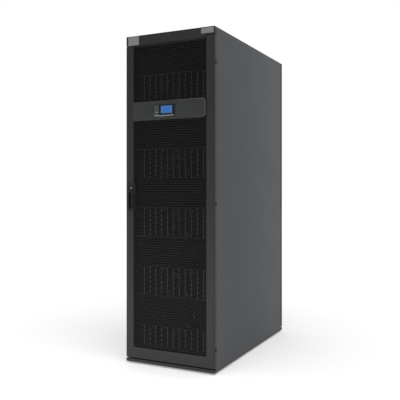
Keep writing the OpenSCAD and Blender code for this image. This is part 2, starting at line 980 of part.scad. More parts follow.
module fan_impeller_1() {
    fan_impeller(1);
}

module fan_impeller_2() {
    fan_impeller(2);
}

module fan_impeller_3() {
    fan_impeller(3);
}

module fan_impeller_4() {
    fan_impeller(4);
}

module fan_impeller_5() {
    fan_impeller(5);
}

// ---------- Coil and water ----------

pan_z0 = floor_z + 60;
pan_z1 = pan_z0 + pan_h;
coil_y = -180;
header_dy = 37.5;
end_t = 4;
coil_x0 = -(in_x - rail_w - 3 * air - tube_step / 2 - tube_d / 2 - end_t);
coil_x1 = pipe_x - pipe_d / 2 - 34;
coil_z0 = pan_z1 + 25;
coil_z1 = coil_z0 + coil_h;
bend_count = floor(coil_h / (2 * tube_step));
feed_count = 8;
pan_x0 = coil_x0 - end_t - 8;
pan_x1 = coil_x1 + end_t + 8;
pan_y0 = coil_y - coil_t / 2 - 25;
pan_y1 = coil_y + coil_t / 2 + 25;

// The finned block between two end plates that stand in the drain pan
module coil_block() {
    fins = floor((coil_x1 - coil_x0 - 4) / fin_pitch);
    color(silver)
    union() {
        translate([0, 0, coil_z0])
            linear_extrude(height = coil_h)
                difference() {
                    translate([coil_x0 - end_t / 2, coil_y - coil_t / 2])
                        square([coil_x1 - coil_x0 + end_t, coil_t]);
                    for (n = [0:fins - 1], s = [-1, 1])
                        translate([coil_x0 + 4 + n * fin_pitch + fin_pitch / 4, coil_y + s * coil_t / 2])
                            square([fin_pitch / 2, 8], center = true);
                }
        for (x = [coil_x0 - end_t, coil_x1])
            block([x, coil_y - coil_t / 2 - 8, pan_z0 + sheet],
                  [x + end_t, coil_y + coil_t / 2 + 8, coil_z1 + 8]);
    }
}

// Return bends on the left; headers with their feeder tubes on the right
module coil_tubes() {
    color(copper) {
        for (y = [supply_y, return_y], n = [0:bend_count - 1])
            translate([coil_x0 - end_t - bolt_gap, y, coil_z0 + tube_step * (2 * n + 1)])
                rotate([90, 90, 0])
                    rotate_extrude(angle = -180)
                        translate([tube_step / 2, 0])
                            circle(d = tube_d);
        for (y = [supply_y, return_y])
            union() {
                translate([pipe_x, y, coil_z0])
                    cylinder(d = pipe_d, h = coil_h);
                for (n = [0:feed_count - 1])
                    rod_x(coil_x1 + end_t + bolt_gap, y, coil_z0 + coil_h * (n + 0.5) / feed_count, tube_d,
                          pipe_x - coil_x1 - end_t - bolt_gap);
            }
    }
}

pipe_bend = 48;
pipe_low = coil_z0 - pipe_bend - bolt_gap;
pipe_top = cab_h - 8;
pipe_end_l = 60;
drain_end_l = 40;
valve_z = 700;
valve_h = 130;
valve_body = pipe_d + 14;
stem_d = 22;
stem_l = 80;
actuator_w = 70;
actuator_d = 80;
actuator_h = 100;

// A quarter bend in the plane of Y and Z about a centre point; up and back say which quarter
module pipe_elbow(y, z, back) {
    translate([pipe_x, y, z])
        intersection() {
            rotate([0, 90, 0])
                rotate_extrude()
                    translate([pipe_bend, 0])
                        circle(d = pipe_d);
            translate([-pipe_d, back ? 0 : -2 * pipe_bend, -2 * pipe_bend])
                cube([2 * pipe_d, 2 * pipe_bend, 2 * pipe_bend]);
        }
}

// The wider threaded end of a water pipe
module pipe_end(y) {
    translate([pipe_x, y, pipe_top - pipe_end_l])
        cylinder(d = pipe_end_d, h = pipe_end_l);
}

module water_pipes() {
    color(steel) {
        union() {
            translate([pipe_x, return_y, coil_z1 + bolt_gap])
                cylinder(d = pipe_d, h = pipe_top - pipe_end_l - coil_z1 - bolt_gap);
            pipe_end(return_y);
        }
        union() {
            pipe_elbow(supply_y + pipe_bend, pipe_low + pipe_bend, false);
            rod_y(pipe_x, supply_y + pipe_bend, pipe_low, pipe_d, riser_y - supply_y - 2 * pipe_bend);
            pipe_elbow(riser_y - pipe_bend, pipe_low + pipe_bend, true);
            translate([pipe_x, riser_y, pipe_low + pipe_bend])
                cylinder(d = pipe_d, h = valve_z - pipe_low - pipe_bend - bolt_gap);
        }
        union() {
            translate([pipe_x, riser_y, valve_z + valve_h + bolt_gap])
                cylinder(d = pipe_d, h = pipe_top - pipe_end_l - valve_z - valve_h - bolt_gap);
            pipe_end(riser_y);
        }
    }
}

// Two way valve body with its electric actuator
module control_valve() {
    color(silver)
    union() {
        translate([pipe_x, riser_y, valve_z])
            cylinder(d = pipe_end_d, h = valve_h);
        translate([pipe_x, riser_y, valve_z + valve_h / 2])
            cube([valve_body, valve_body, valve_body], center = true);
        rod_x(pipe_x - stem_l, riser_y, valve_z + valve_h / 2, stem_d, stem_l);
        translate([pipe_x - stem_l - actuator_w / 2 + cut, riser_y, valve_z + valve_h / 2])
            cube([actuator_w, actuator_d, actuator_h], center = true);
    }
}

pump_w = 150;
pump_x0 = drain_x - pump_w / 6;
pump_x1 = pump_x0 + pump_w;
pump_y0 = drain_y - pump_w / 4;
pump_y1 = pump_y0 + pump_w;
pump_z1 = pan_z0 - 12;
outlet_x = pump_x0 + 0.7 * pump_w;
outlet_z = pan_z0 + sheet + drain_d / 2 + 2;
outlet_y = pump_y0 + pump_w / 3;
pan_foot_w = 40;
pan_foot_in = 60;
pan_foot_back = 20;

// A folded tray on two feet, with a drain boss in its back wall
module drain_pan() {
    color(silver)
    union() {
        difference() {
            block([pan_x0, pan_y0, pan_z0], [pan_x1, pan_y1, pan_z1]);
            block([pan_x0 + sheet, pan_y0 + sheet, pan_z0 + sheet],
                  [pan_x1 - sheet, pan_y1 - sheet, pan_z1 + cut]);
        }
        for (x = [pan_x0 + pan_foot_in, pan_x1 - pan_foot_in - pan_foot_w])
            block([x, pan_y0 + pan_foot_back, floor_z],
                  [x + pan_foot_w, pan_y1 - pan_foot_back, pan_z0 + sheet / 2]);
    }
}

// The pump, the drain pipe into it and the pressure pipe up to the top
module condensate_pump() {
    color(black)
        block([pump_x0, pump_y0, floor_z], [pump_x1, pump_y1, pump_z1]);
    color(steel) {
        union() {
            rod_y(outlet_x, pan_y1 + bolt_gap, outlet_z, drain_d, outlet_y - pan_y1 - bolt_gap);
            translate([outlet_x, outlet_y, pump_z1 - cut])
                cylinder(d = drain_d, h = outlet_z - pump_z1 + cut);
            translate([outlet_x, outlet_y, outlet_z])
                sphere(d = drain_d);
        }
        union() {
            translate([drain_x, drain_y, pump_z1 - cut])
                cylinder(d = drain_d, h = pipe_top - drain_end_l - pump_z1 + cut);
            translate([drain_x, drain_y, pipe_top - drain_end_l])
                cylinder(d = drain_end_d, h = drain_end_l);
        }
    }
}

// ---------- Filters ----------

rack_wall = 12;
rack_t = 60;
rack_y0 = post_y - rack_t;
bay_h = (top_z0 - floor_z - 2 * bolt_gap - 4 * rack_wall) / 3;
bay_w = 2 * (wall_x - rack_wall);
filter_frame = 15;

function bay_z(n) = floor_z + bolt_gap + rack_wall + n * (bay_h + rack_wall);

module filter_rack() {
    color(steel)
    difference() {
        block([-wall_x, rack_y0, floor_z + bolt_gap], [wall_x, post_y - bolt_gap, top_z0 - bolt_gap]);
        for (n = [0:2])
            block([-bay_w / 2, rack_y0 - cut, bay_z(n)], [bay_w / 2, post_y + cut, bay_z(n) + bay_h]);
    }
}

// Three pleated filters, each standing in its bay
module air_filters() {
    w = bay_w - 2 * air;
    h = bay_h - 2 * air;
    pleats = floor((w - 2 * filter_frame - 4) / pleat);
    color("#d8d9d4")
    for (n = [0:2])
        translate([0, rack_y0 + rack_t / 2, bay_z(n) + bolt_gap])
            union() {
                difference() {
                    translate([-w / 2, -filter_t / 2, 0])
                        cube([w, filter_t, h]);
                    translate([-w / 2 + filter_frame, -filter_t, filter_frame])
                        cube([w - 2 * filter_frame, 2 * filter_t, h - 2 * filter_frame]);
                }
                translate([0, 0, filter_frame / 2])
                    linear_extrude(height = h - filter_frame)
                        pleated(w - 2 * filter_frame + 4, filter_t - 8, pleats);
            }
}

// A folded sheet seen from above: n folds over a width w
module pleated(w, t, n) {
    step = w / n;
    front = [for (i = [0:2 * n]) [-w / 2 + i * step / 2, (i % 2 == 0 ? -1 : 1) * (t / 2 - 1.5) - 1]];
    back = [for (i = [2 * n:-1:0]) [-w / 2 + i * step / 2, (i % 2 == 0 ? -1 : 1) * (t / 2 - 1.5) + 1]];
    polygon(concat(front, back));
}

// ---------- Electrical box ----------

ebox_x0 = -(in_x - rail_w - bolt_gap);
ebox_x1 = ebox_x0 + ebox_w;
ebox_y1 = rack_y0 - 20;
ebox_y0 = ebox_y1 - ebox_d;
ebox_z0 = rail_levels[1] + beam_h / 2 - ebox_h / 2;
ebox_z1 = ebox_z0 + ebox_h;
knob_x = (ebox_x0 + ebox_x1) / 2;
knob_z = ebox_z1 - 90;
knob_t = 12;

module electrical_box() {
    color(paint)
    difference() {
        block([ebox_x0, ebox_y0, ebox_z0], [ebox_x1, ebox_y1 - sheet - bolt_gap, ebox_z1]);
        block([ebox_x0 + sheet, ebox_y0 + sheet, ebox_z0 + sheet],
              [ebox_x1 - sheet, ebox_y1, ebox_z1 - sheet]);
    }
}

module electrical_cover() {
    color(paint)
    difference() {
        block([ebox_x0, ebox_y1 - sheet, ebox_z0], [ebox_x1, ebox_y1, ebox_z1]);
        rod_y(knob_x, ebox_y1 - sheet - cut, knob_z, spindle_d + 2 * run_fit, sheet + 2 * cut);
    }
}

module main_switch_knob() {
    color("#c43a2f")
    union() {
        rod_y(knob_x, ebox_y1 - 20, knob_z, spindle_d, 20 + knob_t / 2);
        rod_y(knob_x, ebox_y1 + lever_gap, knob_z, knob_d, knob_t / 2);
        block([knob_x - 5, ebox_y1 + lever_gap, knob_z - knob_d / 2 + 3],
              [knob_x + 5, ebox_y1 + knob_t, knob_z + knob_d / 2 - 3]);
    }
}

// ---------- Casters and feet ----------

kingpin_d = 12;
wheel_z = wheel_lift + wheel_d / 2;
axle_d = 8;
arm_gap = 1;
fork_t = 3;
disc_t = 4;
disc_z = base_z - lever_gap - disc_t;
fork_half = wheel_w / 2 + arm_gap;

// A fork on its kingpin, with the axle between its two arms, trailing towards -Y
module caster_fork(n) {
    translate([corner_x(n) * caster_x, corner_y(n) * caster_y, 0])
        color(zinc)
        union() {
            translate([0, 0, disc_z])
                cylinder(d = 44, h = disc_t);
            translate([0, 0, disc_z])
                cylinder(d = kingpin_d, h = base_z - disc_z + beam_h / 2 - 2);
            for (s = [-1, 1])
                translate([s * (fork_half + fork_t / 2) - fork_t / 2, 0, 0])
                    rotate([90, 0, 90])
                        linear_extrude(height = fork_t) {
                            polygon([[-14, disc_z + cut], [14, disc_z + cut],
                                     [-trail + 7, wheel_z - 4], [-trail - 7, wheel_z]]);
                            translate([-trail, wheel_z])
                                circle(d = 15);
                        }
            rod_x(-fork_half - fork_t, -trail, wheel_z, axle_d, 2 * (fork_half + fork_t));
        }
}

module caster_wheel(n) {
    color(black)
    translate([corner_x(n) * caster_x, corner_y(n) * caster_y - trail, wheel_z])
        rotate([0, 90, 0])
            rotate_extrude()
                difference() {
                    translate([axle_d / 2 + run_fit, -wheel_w / 2])
                        square([wheel_d / 2 - axle_d / 2 - run_fit, wheel_w]);
                    for (s = [-1, 1])
                        translate([wheel_d / 3, s * wheel_w / 2])
                            circle(d = 6);
                }
}

module caster_fork_1() {
    caster_fork(0);
}

module caster_fork_2() {
    caster_fork(1);
}

module caster_fork_3() {
    caster_fork(2);
}

module caster_fork_4() {
    caster_fork(3);
}

module caster_wheel_1() {
    caster_wheel(0);
}

module caster_wheel_2() {
    caster_wheel(1);
}

module caster_wheel_3() {
    caster_wheel(2);
}

module caster_wheel_4() {
    caster_wheel(3);
}

pad_t = 8;
nut_h = 9;

// A levelling foot: pad, stud and lock nut
module levelling_foot(n) {
    color(zinc)
    translate([corner_x(n) * foot_x, corner_y(n) * foot_y, 0])
        union() {
            cylinder(d = foot_d, h = pad_t);
            translate([0, 0, pad_t - cut])
                cylinder(d = foot_d / 2, h = 5 + cut);
            cylinder(d = stud_d, h = base_top - 4);
            translate([0, 0, base_z - nut_h - lever_gap])
                cylinder(d = stud_d * 1.8, h = nut_h, $fn = 6);
        }
}

module levelling_foot_1() {
    levelling_foot(0);
}

module levelling_foot_2() {
    levelling_foot(1);
}

module levelling_foot_3() {
    levelling_foot(2);
}

module levelling_foot_4() {
    levelling_foot(3);
}

base_frame();
kick_plates();
posts_and_rails();
top_frame();
left_side_panel();
right_side_panel();
top_panel();
entry_covers();
header_fascias();
badge_plates();
hinge_brackets();
air_guides();
fan_wall();
fan_motors();
fan_guards();
fan_impeller_1();
fan_impeller_2();
fan_impeller_3();
fan_impeller_4();
fan_impeller_5();
coil_block();
coil_tubes();
water_pipes();
control_valve();
drain_pan();
condensate_pump();
filter_rack();
air_filters();
electrical_box();
electrical_cover();
main_switch_knob();
front_door_frame();
front_mesh();
display_bezel();
display_housing();
display_screen();
display_button_1();
display_button_2();
front_handle_dish();
front_handle_hub();
front_handle_lever();
front_lock();
rear_door_frame();
rear_mesh();
rear_handle_dish();
rear_handle_hub();
rear_handle_lever();
rear_lock();
caster_fork_1();
caster_fork_2();
caster_fork_3();
caster_fork_4();
caster_wheel_1();
caster_wheel_2();
caster_wheel_3();
caster_wheel_4();
levelling_foot_1();
levelling_foot_2();
levelling_foot_3();
levelling_foot_4();
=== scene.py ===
import json
import math

import bmesh
import bpy
from mathutils import Matrix, Vector

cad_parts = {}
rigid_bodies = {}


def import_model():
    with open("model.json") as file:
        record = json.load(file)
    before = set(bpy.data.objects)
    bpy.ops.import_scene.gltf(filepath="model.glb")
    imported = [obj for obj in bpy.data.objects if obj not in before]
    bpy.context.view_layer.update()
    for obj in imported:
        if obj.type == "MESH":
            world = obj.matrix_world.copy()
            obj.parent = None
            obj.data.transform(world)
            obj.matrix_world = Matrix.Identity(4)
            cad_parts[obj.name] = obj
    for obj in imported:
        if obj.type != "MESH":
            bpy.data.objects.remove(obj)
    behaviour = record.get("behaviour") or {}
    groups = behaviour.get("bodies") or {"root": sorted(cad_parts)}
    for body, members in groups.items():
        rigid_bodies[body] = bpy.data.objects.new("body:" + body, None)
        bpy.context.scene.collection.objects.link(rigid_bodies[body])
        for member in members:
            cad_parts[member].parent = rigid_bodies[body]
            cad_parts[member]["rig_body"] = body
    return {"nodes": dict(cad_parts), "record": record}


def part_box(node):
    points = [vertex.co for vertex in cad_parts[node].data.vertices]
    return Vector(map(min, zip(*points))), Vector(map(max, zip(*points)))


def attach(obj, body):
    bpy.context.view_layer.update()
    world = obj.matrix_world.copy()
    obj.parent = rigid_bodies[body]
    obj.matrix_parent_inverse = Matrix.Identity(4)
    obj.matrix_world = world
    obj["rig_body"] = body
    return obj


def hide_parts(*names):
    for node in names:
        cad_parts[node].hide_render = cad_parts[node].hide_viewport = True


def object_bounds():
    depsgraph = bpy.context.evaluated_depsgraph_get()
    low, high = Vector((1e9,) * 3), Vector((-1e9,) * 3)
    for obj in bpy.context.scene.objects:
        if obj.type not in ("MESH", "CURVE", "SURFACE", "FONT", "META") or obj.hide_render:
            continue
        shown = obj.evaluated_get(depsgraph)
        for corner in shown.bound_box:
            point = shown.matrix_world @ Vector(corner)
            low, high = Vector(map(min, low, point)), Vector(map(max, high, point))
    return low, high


bl_info = {
    "name": "In Row Cooling Unit Finish",
    "version": (1, 0, 0),
    "blender": (4, 5, 0),
    "location": "View3D > Sidebar > Cooler",
    "description": "Surfaces, perforated sheets, display and handles of an in row cooling unit",
    "category": "Object",
}

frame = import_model()
RECORD_SLOTS = {s["node"]: s["material_slot"] for s in frame["record"]["subparts"]}
CAD_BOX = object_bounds()
FRONT, BACK = -1, 1
SMOOTH_ANGLE = math.radians(32)  # Edges that turn by less are shaded smooth
ROUND_ANGLE = 35.0  # Degrees; edges that turn by more are rounded
# Parts of the cabinet that only get rounded edges: the piece's name and the rounding
CABINET_PIECES = {
    "left_side_panel": ("side_panel_left", 0.0018),
    "right_side_panel": ("side_panel_right", 0.0018),
    "top_panel": ("top_cover", 0.0008),
    "entry_covers": ("top_entry_covers", 0.0006),
    "header_fascias": ("headers", 0.0012),
    "kick_plates": ("skirts", 0.0012),
    "badge_plates": ("header_plates", 0.0005),
}


# ---------------------------------------------------------------- sizes and colours

class PaintColours(bpy.types.PropertyGroup):
    """Colours of the painted and moulded surfaces."""
    door: bpy.props.FloatVectorProperty(
        name="Door paint", description="Powder coat of the doors, header and skirt",
        subtype="COLOR", size=3, min=0, max=1, default=(0.0236, 0.0242, 0.0246))
    panel: bpy.props.FloatVectorProperty(
        name="Panel paint", description="Powder coat of the side and top panels",
        subtype="COLOR", size=3, min=0, max=1, default=(0.094, 0.0972, 0.1035))
    bezel: bpy.props.FloatVectorProperty(
        name="Bezel", description="Satin finish of the display bezel",
        subtype="COLOR", size=3, min=0, max=1, default=(0.026, 0.0283, 0.0275))
    mesh: bpy.props.FloatVectorProperty(
        name="Perforated sheet", description="Paint of the perforated sheets",
        subtype="COLOR", size=3, min=0, max=1, default=(0.0265, 0.0268, 0.0270))
    # The inner frame and the air guides are black paint made darker than black paint is, as painted shade of
    # the unit's dark inside.
    frame: bpy.props.FloatVectorProperty(
        name="Inner frame", description="Paint of the posts, beams and fan wall",
        subtype="COLOR", size=3, min=0, max=1, default=(0.003, 0.0031, 0.0032))
    guide: bpy.props.FloatVectorProperty(
        name="Air guides", description="Paint of the air guides behind the front sheet",
        subtype="COLOR", size=3, min=0, max=1, default=(0.0036, 0.0037, 0.0038))
    screen: bpy.props.FloatVectorProperty(
        name="Screen", description="Colour of the lit screen",
        subtype="COLOR", size=3, min=0, max=1, default=(0.0100, 0.110, 0.360))


class SheetSizes(bpy.types.PropertyGroup):
    """Sizes of the perforated sheets."""
    pitch: bpy.props.FloatProperty(
        name="Hole pitch", description="Distance between the middles of two holes in a row",
        unit="LENGTH", default=0.0165, min=0.008, max=0.03)
    web: bpy.props.FloatProperty(
        name="Web", description="Metal left between two holes",
        unit="LENGTH", default=0.0026, min=0.001, max=0.006)


class DoorSizes(bpy.types.PropertyGroup):
    """Sizes of the folded doors and of the display on the front one."""
    fold: bpy.props.FloatProperty(
        name="Fold radius", description="Radius of the doors' folds",
        unit="LENGTH", default=0.0012, min=0.0004, max=0.003)
    bezel_fillet: bpy.props.FloatProperty(
        name="Bezel fillet", description="Radius along the bezel's upper and right edges",
        unit="LENGTH", default=0.0032, min=0.0005, max=0.005)
    bezel_edge: bpy.props.FloatProperty(
        name="Bezel edge", description="Radius of the bezel's other edges",
        unit="LENGTH", default=0.0008, min=0.0002, max=0.002)
    # Height of the black strip that is painted shade of the seam along the top of the headers.
    seam_shade: bpy.props.FloatProperty(
        name="Top trim", description="Height of the dark trim along the top edge of the headers",
        unit="LENGTH", default=0.0055, min=0.002, max=0.012)


class StudioSetup(bpy.types.PropertyGroup):
    """Camera and light of the stage."""
    azimuth: bpy.props.FloatProperty(
        name="Azimuth", description="Turn of the camera to the right of straight ahead",
        subtype="ANGLE", default=math.radians(26.33))
    camera_place: bpy.props.FloatVectorProperty(
        name="Camera", description="Place of the camera",
        subtype="TRANSLATION", size=3, default=(1.7416, -3.7019, 1.0761))
    lens: bpy.props.FloatProperty(
        name="Lens", description="Focal length in millimetres on a 36 mm wide sensor",
        default=53.88, min=10, max=200)
    shift: bpy.props.FloatProperty(
        name="Shift", description="Upright shift of the lens", default=-0.0317, min=-0.2, max=0.2)
    room_light: bpy.props.FloatProperty(
        name="Room light", description="Strength of the light from the room", default=0.48, min=0, max=2)
    top_light: bpy.props.FloatProperty(
        name="Top light", description="Strength of the light from above", default=1.45, min=0, max=10)
    low_light: bpy.props.FloatProperty(
        name="Low light", description="Power of the soft lamp near the floor",
        subtype="POWER", default=16.5, min=0, max=200)
    low_light_place: bpy.props.FloatVectorProperty(
        name="Low lamp", description="Place of the lamp near the floor",
        subtype="TRANSLATION", size=3, default=(-0.15, -1.75, 0.13))
    floor_glow: bpy.props.FloatProperty(
        name="Floor white", description="What a look at the floor adds to reach the room's white",
        default=0.22, min=0, max=1)


def sheet_sizes():
    return bpy.context.scene.cooler_sheets


def door_sizes():
    return bpy.context.scene.cooler_doors


def row_rise():
    """The step up from one row of holes to the next."""
    return sheet_sizes().pitch * math.sin(math.radians(60))


# ---------------------------------------------------------------- materials

def new_material(name, colour, roughness=0.5, metallic=0.0, specular=0.5):
    """A material with its Principled shader, and the shader's name for use by the helpers below."""
    material = bpy.data.materials.new(name)
    material.use_nodes = True
    shader = material.node_tree.nodes["Principled BSDF"]
    shader.inputs["Base Color"].default_value = (*colour, 1.0)
    shader.inputs["Roughness"].default_value = roughness
    shader.inputs["Metallic"].default_value = metallic
    shader.inputs["Specular IOR Level"].default_value = specular
    material.diffuse_color = (*colour, 1.0)
    return material, shader


def add_node(material, kind, **values):
    """A shader node; its inputs are set by name, and its own settings by attribute."""
    node = material.node_tree.nodes.new(kind)
    for key, value in values.items():
        if hasattr(node, key):
            setattr(node, key, value)
        else:
            node.inputs[key.replace("_", " ")].default_value = value
    return node


def link(material, source, target):
    material.node_tree.links.new(source, target)


def object_coordinates(material, scale=(1, 1, 1)):
    place = add_node(material, "ShaderNodeTexCoord")
    mapping = add_node(material, "ShaderNodeMapping")
    mapping.inputs["Scale"].default_value = scale
    link(material, place.outputs["Object"], mapping.inputs["Vector"])
    return mapping.outputs["Vector"]


def noise(material, vector, scale, detail=2.0, rough=0.5):
    node = add_node(material, "ShaderNodeTexNoise", Scale=scale, Detail=detail, Roughness=rough)
    link(material, vector, node.inputs["Vector"])
    return node.outputs["Fac"]


def spread(material, value, low, high):
    """The value between 0 and 1 stretched to run from low to high."""
    node = add_node(material, "ShaderNodeMapRange")
    node.inputs["To Min"].default_value = low
    node.inputs["To Max"].default_value = high
    link(material, value, node.inputs["Value"])
    return node.outputs["Result"]


def mix_colours(material, factor, first, second, blend="MIX"):
    """Mixes two colours, each a colour or a socket, by a value or a socket."""
    mix = add_node(material, "ShaderNodeMix", data_type="RGBA", blend_type=blend)
    for socket, value in ((mix.inputs[0], factor), (mix.inputs[6], first), (mix.inputs[7], second)):
        if isinstance(value, bpy.types.NodeSocket):
            link(material, value, socket)
        else:
            socket.default_value = value
    return mix.outputs[2]


def vary_colour(material, shader, value, dark, light):
    mixed = mix_colours(material, value, (*dark, 1.0), (*light, 1.0))
    link(material, mixed, shader.inputs["Base Color"])


def add_bump(material, shader, value, strength, distance):
    bump = add_node(material, "ShaderNodeBump", Strength=strength, Distance=distance)
    link(material, value, bump.inputs["Height"])
    link(material, bump.outputs["Normal"], shader.inputs["Normal"])


def shade(colour, factor):
    return tuple(min(1.0, c * factor) for c in colour)


def powder_coat(name, colour, roughness=0.42, grain=620.0, specular=0.12):
    """Powder coated steel: fine orange peel, with slow changes of shade and gloss."""
    material, shader = new_material(name, colour, roughness, specular=specular)
    place = object_coordinates(material)
    slow = noise(material, place, 2.3, 3.0)
    vary_colour(material, shader, slow, shade(colour, 0.93), shade(colour, 1.07))
    link(material, spread(material, noise(material, place, 5.5, 4.0), roughness - 0.05, roughness + 0.06),
         shader.inputs["Roughness"])
    add_bump(material, shader, noise(material, place, grain, 1.0), 0.12, 0.0004)
    return material


def moulded_plastic(name, colour, roughness=0.5, grain=1500.0, specular=0.5):
    """Moulded plastic with a fine spark eroded texture."""
    material, shader = new_material(name, colour, roughness, specular=specular)
    place = object_coordinates(material)
    vary_colour(material, shader, noise(material, place, 30.0, 2.0), shade(colour, 0.9), shade(colour, 1.1))
    link(material, spread(material, noise(material, place, 60.0), roughness - 0.06, roughness + 0.06),
         shader.inputs["Roughness"])
    add_bump(material, shader, noise(material, place, grain, 1.0), 0.15, 0.0002)
    return material


def brushed_metal(name, colour, roughness=0.35, along=(1, 1, 1)):
    """Metal with fine lines along one direction."""
    material, shader = new_material(name, colour, roughness, metallic=1.0)
    place = object_coordinates(material, along)
    lines = noise(material, place, 900.0, 2.0)
    vary_colour(material, shader, lines, shade(colour, 0.88), shade(colour, 1.08))
    link(material, spread(material, lines, roughness - 0.08, roughness + 0.1), shader.inputs["Roughness"])
    add_bump(material, shader, lines, 0.08, 0.0002)
    return material


def spangled_zinc(name, colour, roughness):
    """Galvanised or zinc plated steel with soft spangles."""
    material, shader = new_material(name, colour, roughness, metallic=0.9)
    place = object_coordinates(material)
    cells = add_node(material, "ShaderNodeTexVoronoi", Scale=140.0)
    link(material, place, cells.inputs["Vector"])
    grey = add_node(material, "ShaderNodeRGBToBW")
    link(material, cells.outputs["Color"], grey.inputs["Color"])
    vary_colour(material, shader, grey.outputs["Val"], shade(colour, 0.82), shade(colour, 1.12))
    link(material, spread(material, grey.outputs["Val"], roughness - 0.1, roughness + 0.12),
         shader.inputs["Roughness"])
    return material


def worn_rubber(name, colour):
    """Rubber with paler scuffs."""
    material, shader = new_material(name, colour, 0.75, specular=0.3)
    place = object_coordinates(material)
    grime = noise(material, place, 90.0, 4.0)
    vary_colour(material, shader, grime, colour, shade(colour, 1.9))
    add_bump(material, shader, grime, 0.3, 0.0005)
    return material


def filter_paper(name, colour):
    """Filter fibre: fluffy and slightly soiled."""
    material, shader = new_material(name, colour, 0.95, specular=0.1)
    place = object_coordinates(material)
    soil = noise(material, place, 9.0, 6.0, 0.7)
    vary_colour(material, shader, soil, shade(colour, 0.72), colour)
    add_bump(material, shader, noise(material, place, 800.0, 3.0), 0.5, 0.0006)
    return material


def copper_tube(name, colour):
    """Bare copper with darker, duller stains."""
    material, shader = new_material(name, colour, 0.3, metallic=1.0)
    place = object_coordinates(material)
    stain = noise(material, place, 24.0, 5.0)
    vary_colour(material, shader, stain, shade(colour, 0.55), colour)
    link(material, spread(material, stain, 0.5, 0.24), shader.inputs["Roughness"])
    return material


def finned_aluminium(name, colour):
    """The face of a fin pack: fine upright fins in the bump, with darker stripes painted in as the shade
    between the fins.
    """
    material, shader = new_material(name, colour, 0.4, metallic=0.9)
    place = object_coordinates(material)
    wave = add_node(material, "ShaderNodeTexWave", Scale=75.0, Distortion=0.4)
    link(material, place, wave.inputs["Vector"])
    # Darker stripes following the fins: painted shade of the gaps between them.
    vary_colour(material, shader, wave.outputs["Fac"], shade(colour, 0.5), colour)
    add_bump(material, shader, wave.outputs["Fac"], 0.5, 0.001)
    return material


def lit_screen(name, colour):
    """A backlit panel: brightest in the middle, with paler tiles of a plain menu and a dark rim."""
    material, shader = new_material(name, colour, 0.22, specular=0.2)
    low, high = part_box("display_screen")
    middle = (low + high) / 2
    wide, tall = high.x - low.x, high.z - low.z
    place = add_node(material, "ShaderNodeTexCoord")
    mapping = add_node(material, "ShaderNodeMapping")
    mapping.inputs["Location"].default_value = (-middle.x / wide, 0, -middle.z / tall)
    mapping.inputs["Scale"].default_value = (1 / wide, 0, 1 / tall)
    link(material, place.outputs["Object"], mapping.inputs["Vector"])
    glow = add_node(material, "ShaderNodeTexGradient", gradient_type="SPHERICAL")
    link(material, mapping.outputs["Vector"], glow.inputs["Vector"])
    tiles = add_node(material, "ShaderNodeTexBrick", offset=0.0, Scale=1.0)
    for key, value in (("Mortar Size", 0.035), ("Mortar Smooth", 0.3),
                       ("Brick Width", 0.25), ("Row Height", 0.333)):
        tiles.inputs[key].default_value = value
    tiles.inputs["Color1"].default_value = (1, 1, 1, 1)
    tiles.inputs["Color2"].default_value = (0.82, 0.82, 0.82, 1)
    tiles.inputs["Mortar"].default_value = (0.62, 0.62, 0.62, 1)
    turn = add_node(material, "ShaderNodeMapping")
    turn.inputs["Rotation"].default_value = (math.pi / 2, 0, 0)
    link(material, mapping.outputs["Vector"], turn.inputs["Vector"])
    link(material, turn.outputs["Vector"], tiles.inputs["Vector"])
    ramp = mix_colours(material, glow.outputs["Fac"], (0.072, 0.105, 0.150, 1), (*colour, 1))
    tiled = mix_colours(material, 0.45, ramp, tiles.outputs["Color"], "MULTIPLY")
    link(material, tiled, shader.inputs["Base Color"])
    link(material, tiled, shader.inputs["Emission Color"])
    shader.inputs["Emission Strength"].default_value = 0.45
    return material


MATERIALS = {}
# Parts that are finished otherwise than their slot says
# The hinges take a lighter copy of the door paint, as a painted highlight on their knuckles.
OWN_FINISHES = {"hinge_brackets": "hinge_painted_highlight", "front_handle_hub": "lever_black",
                "rear_handle_hub": "lever_black"}


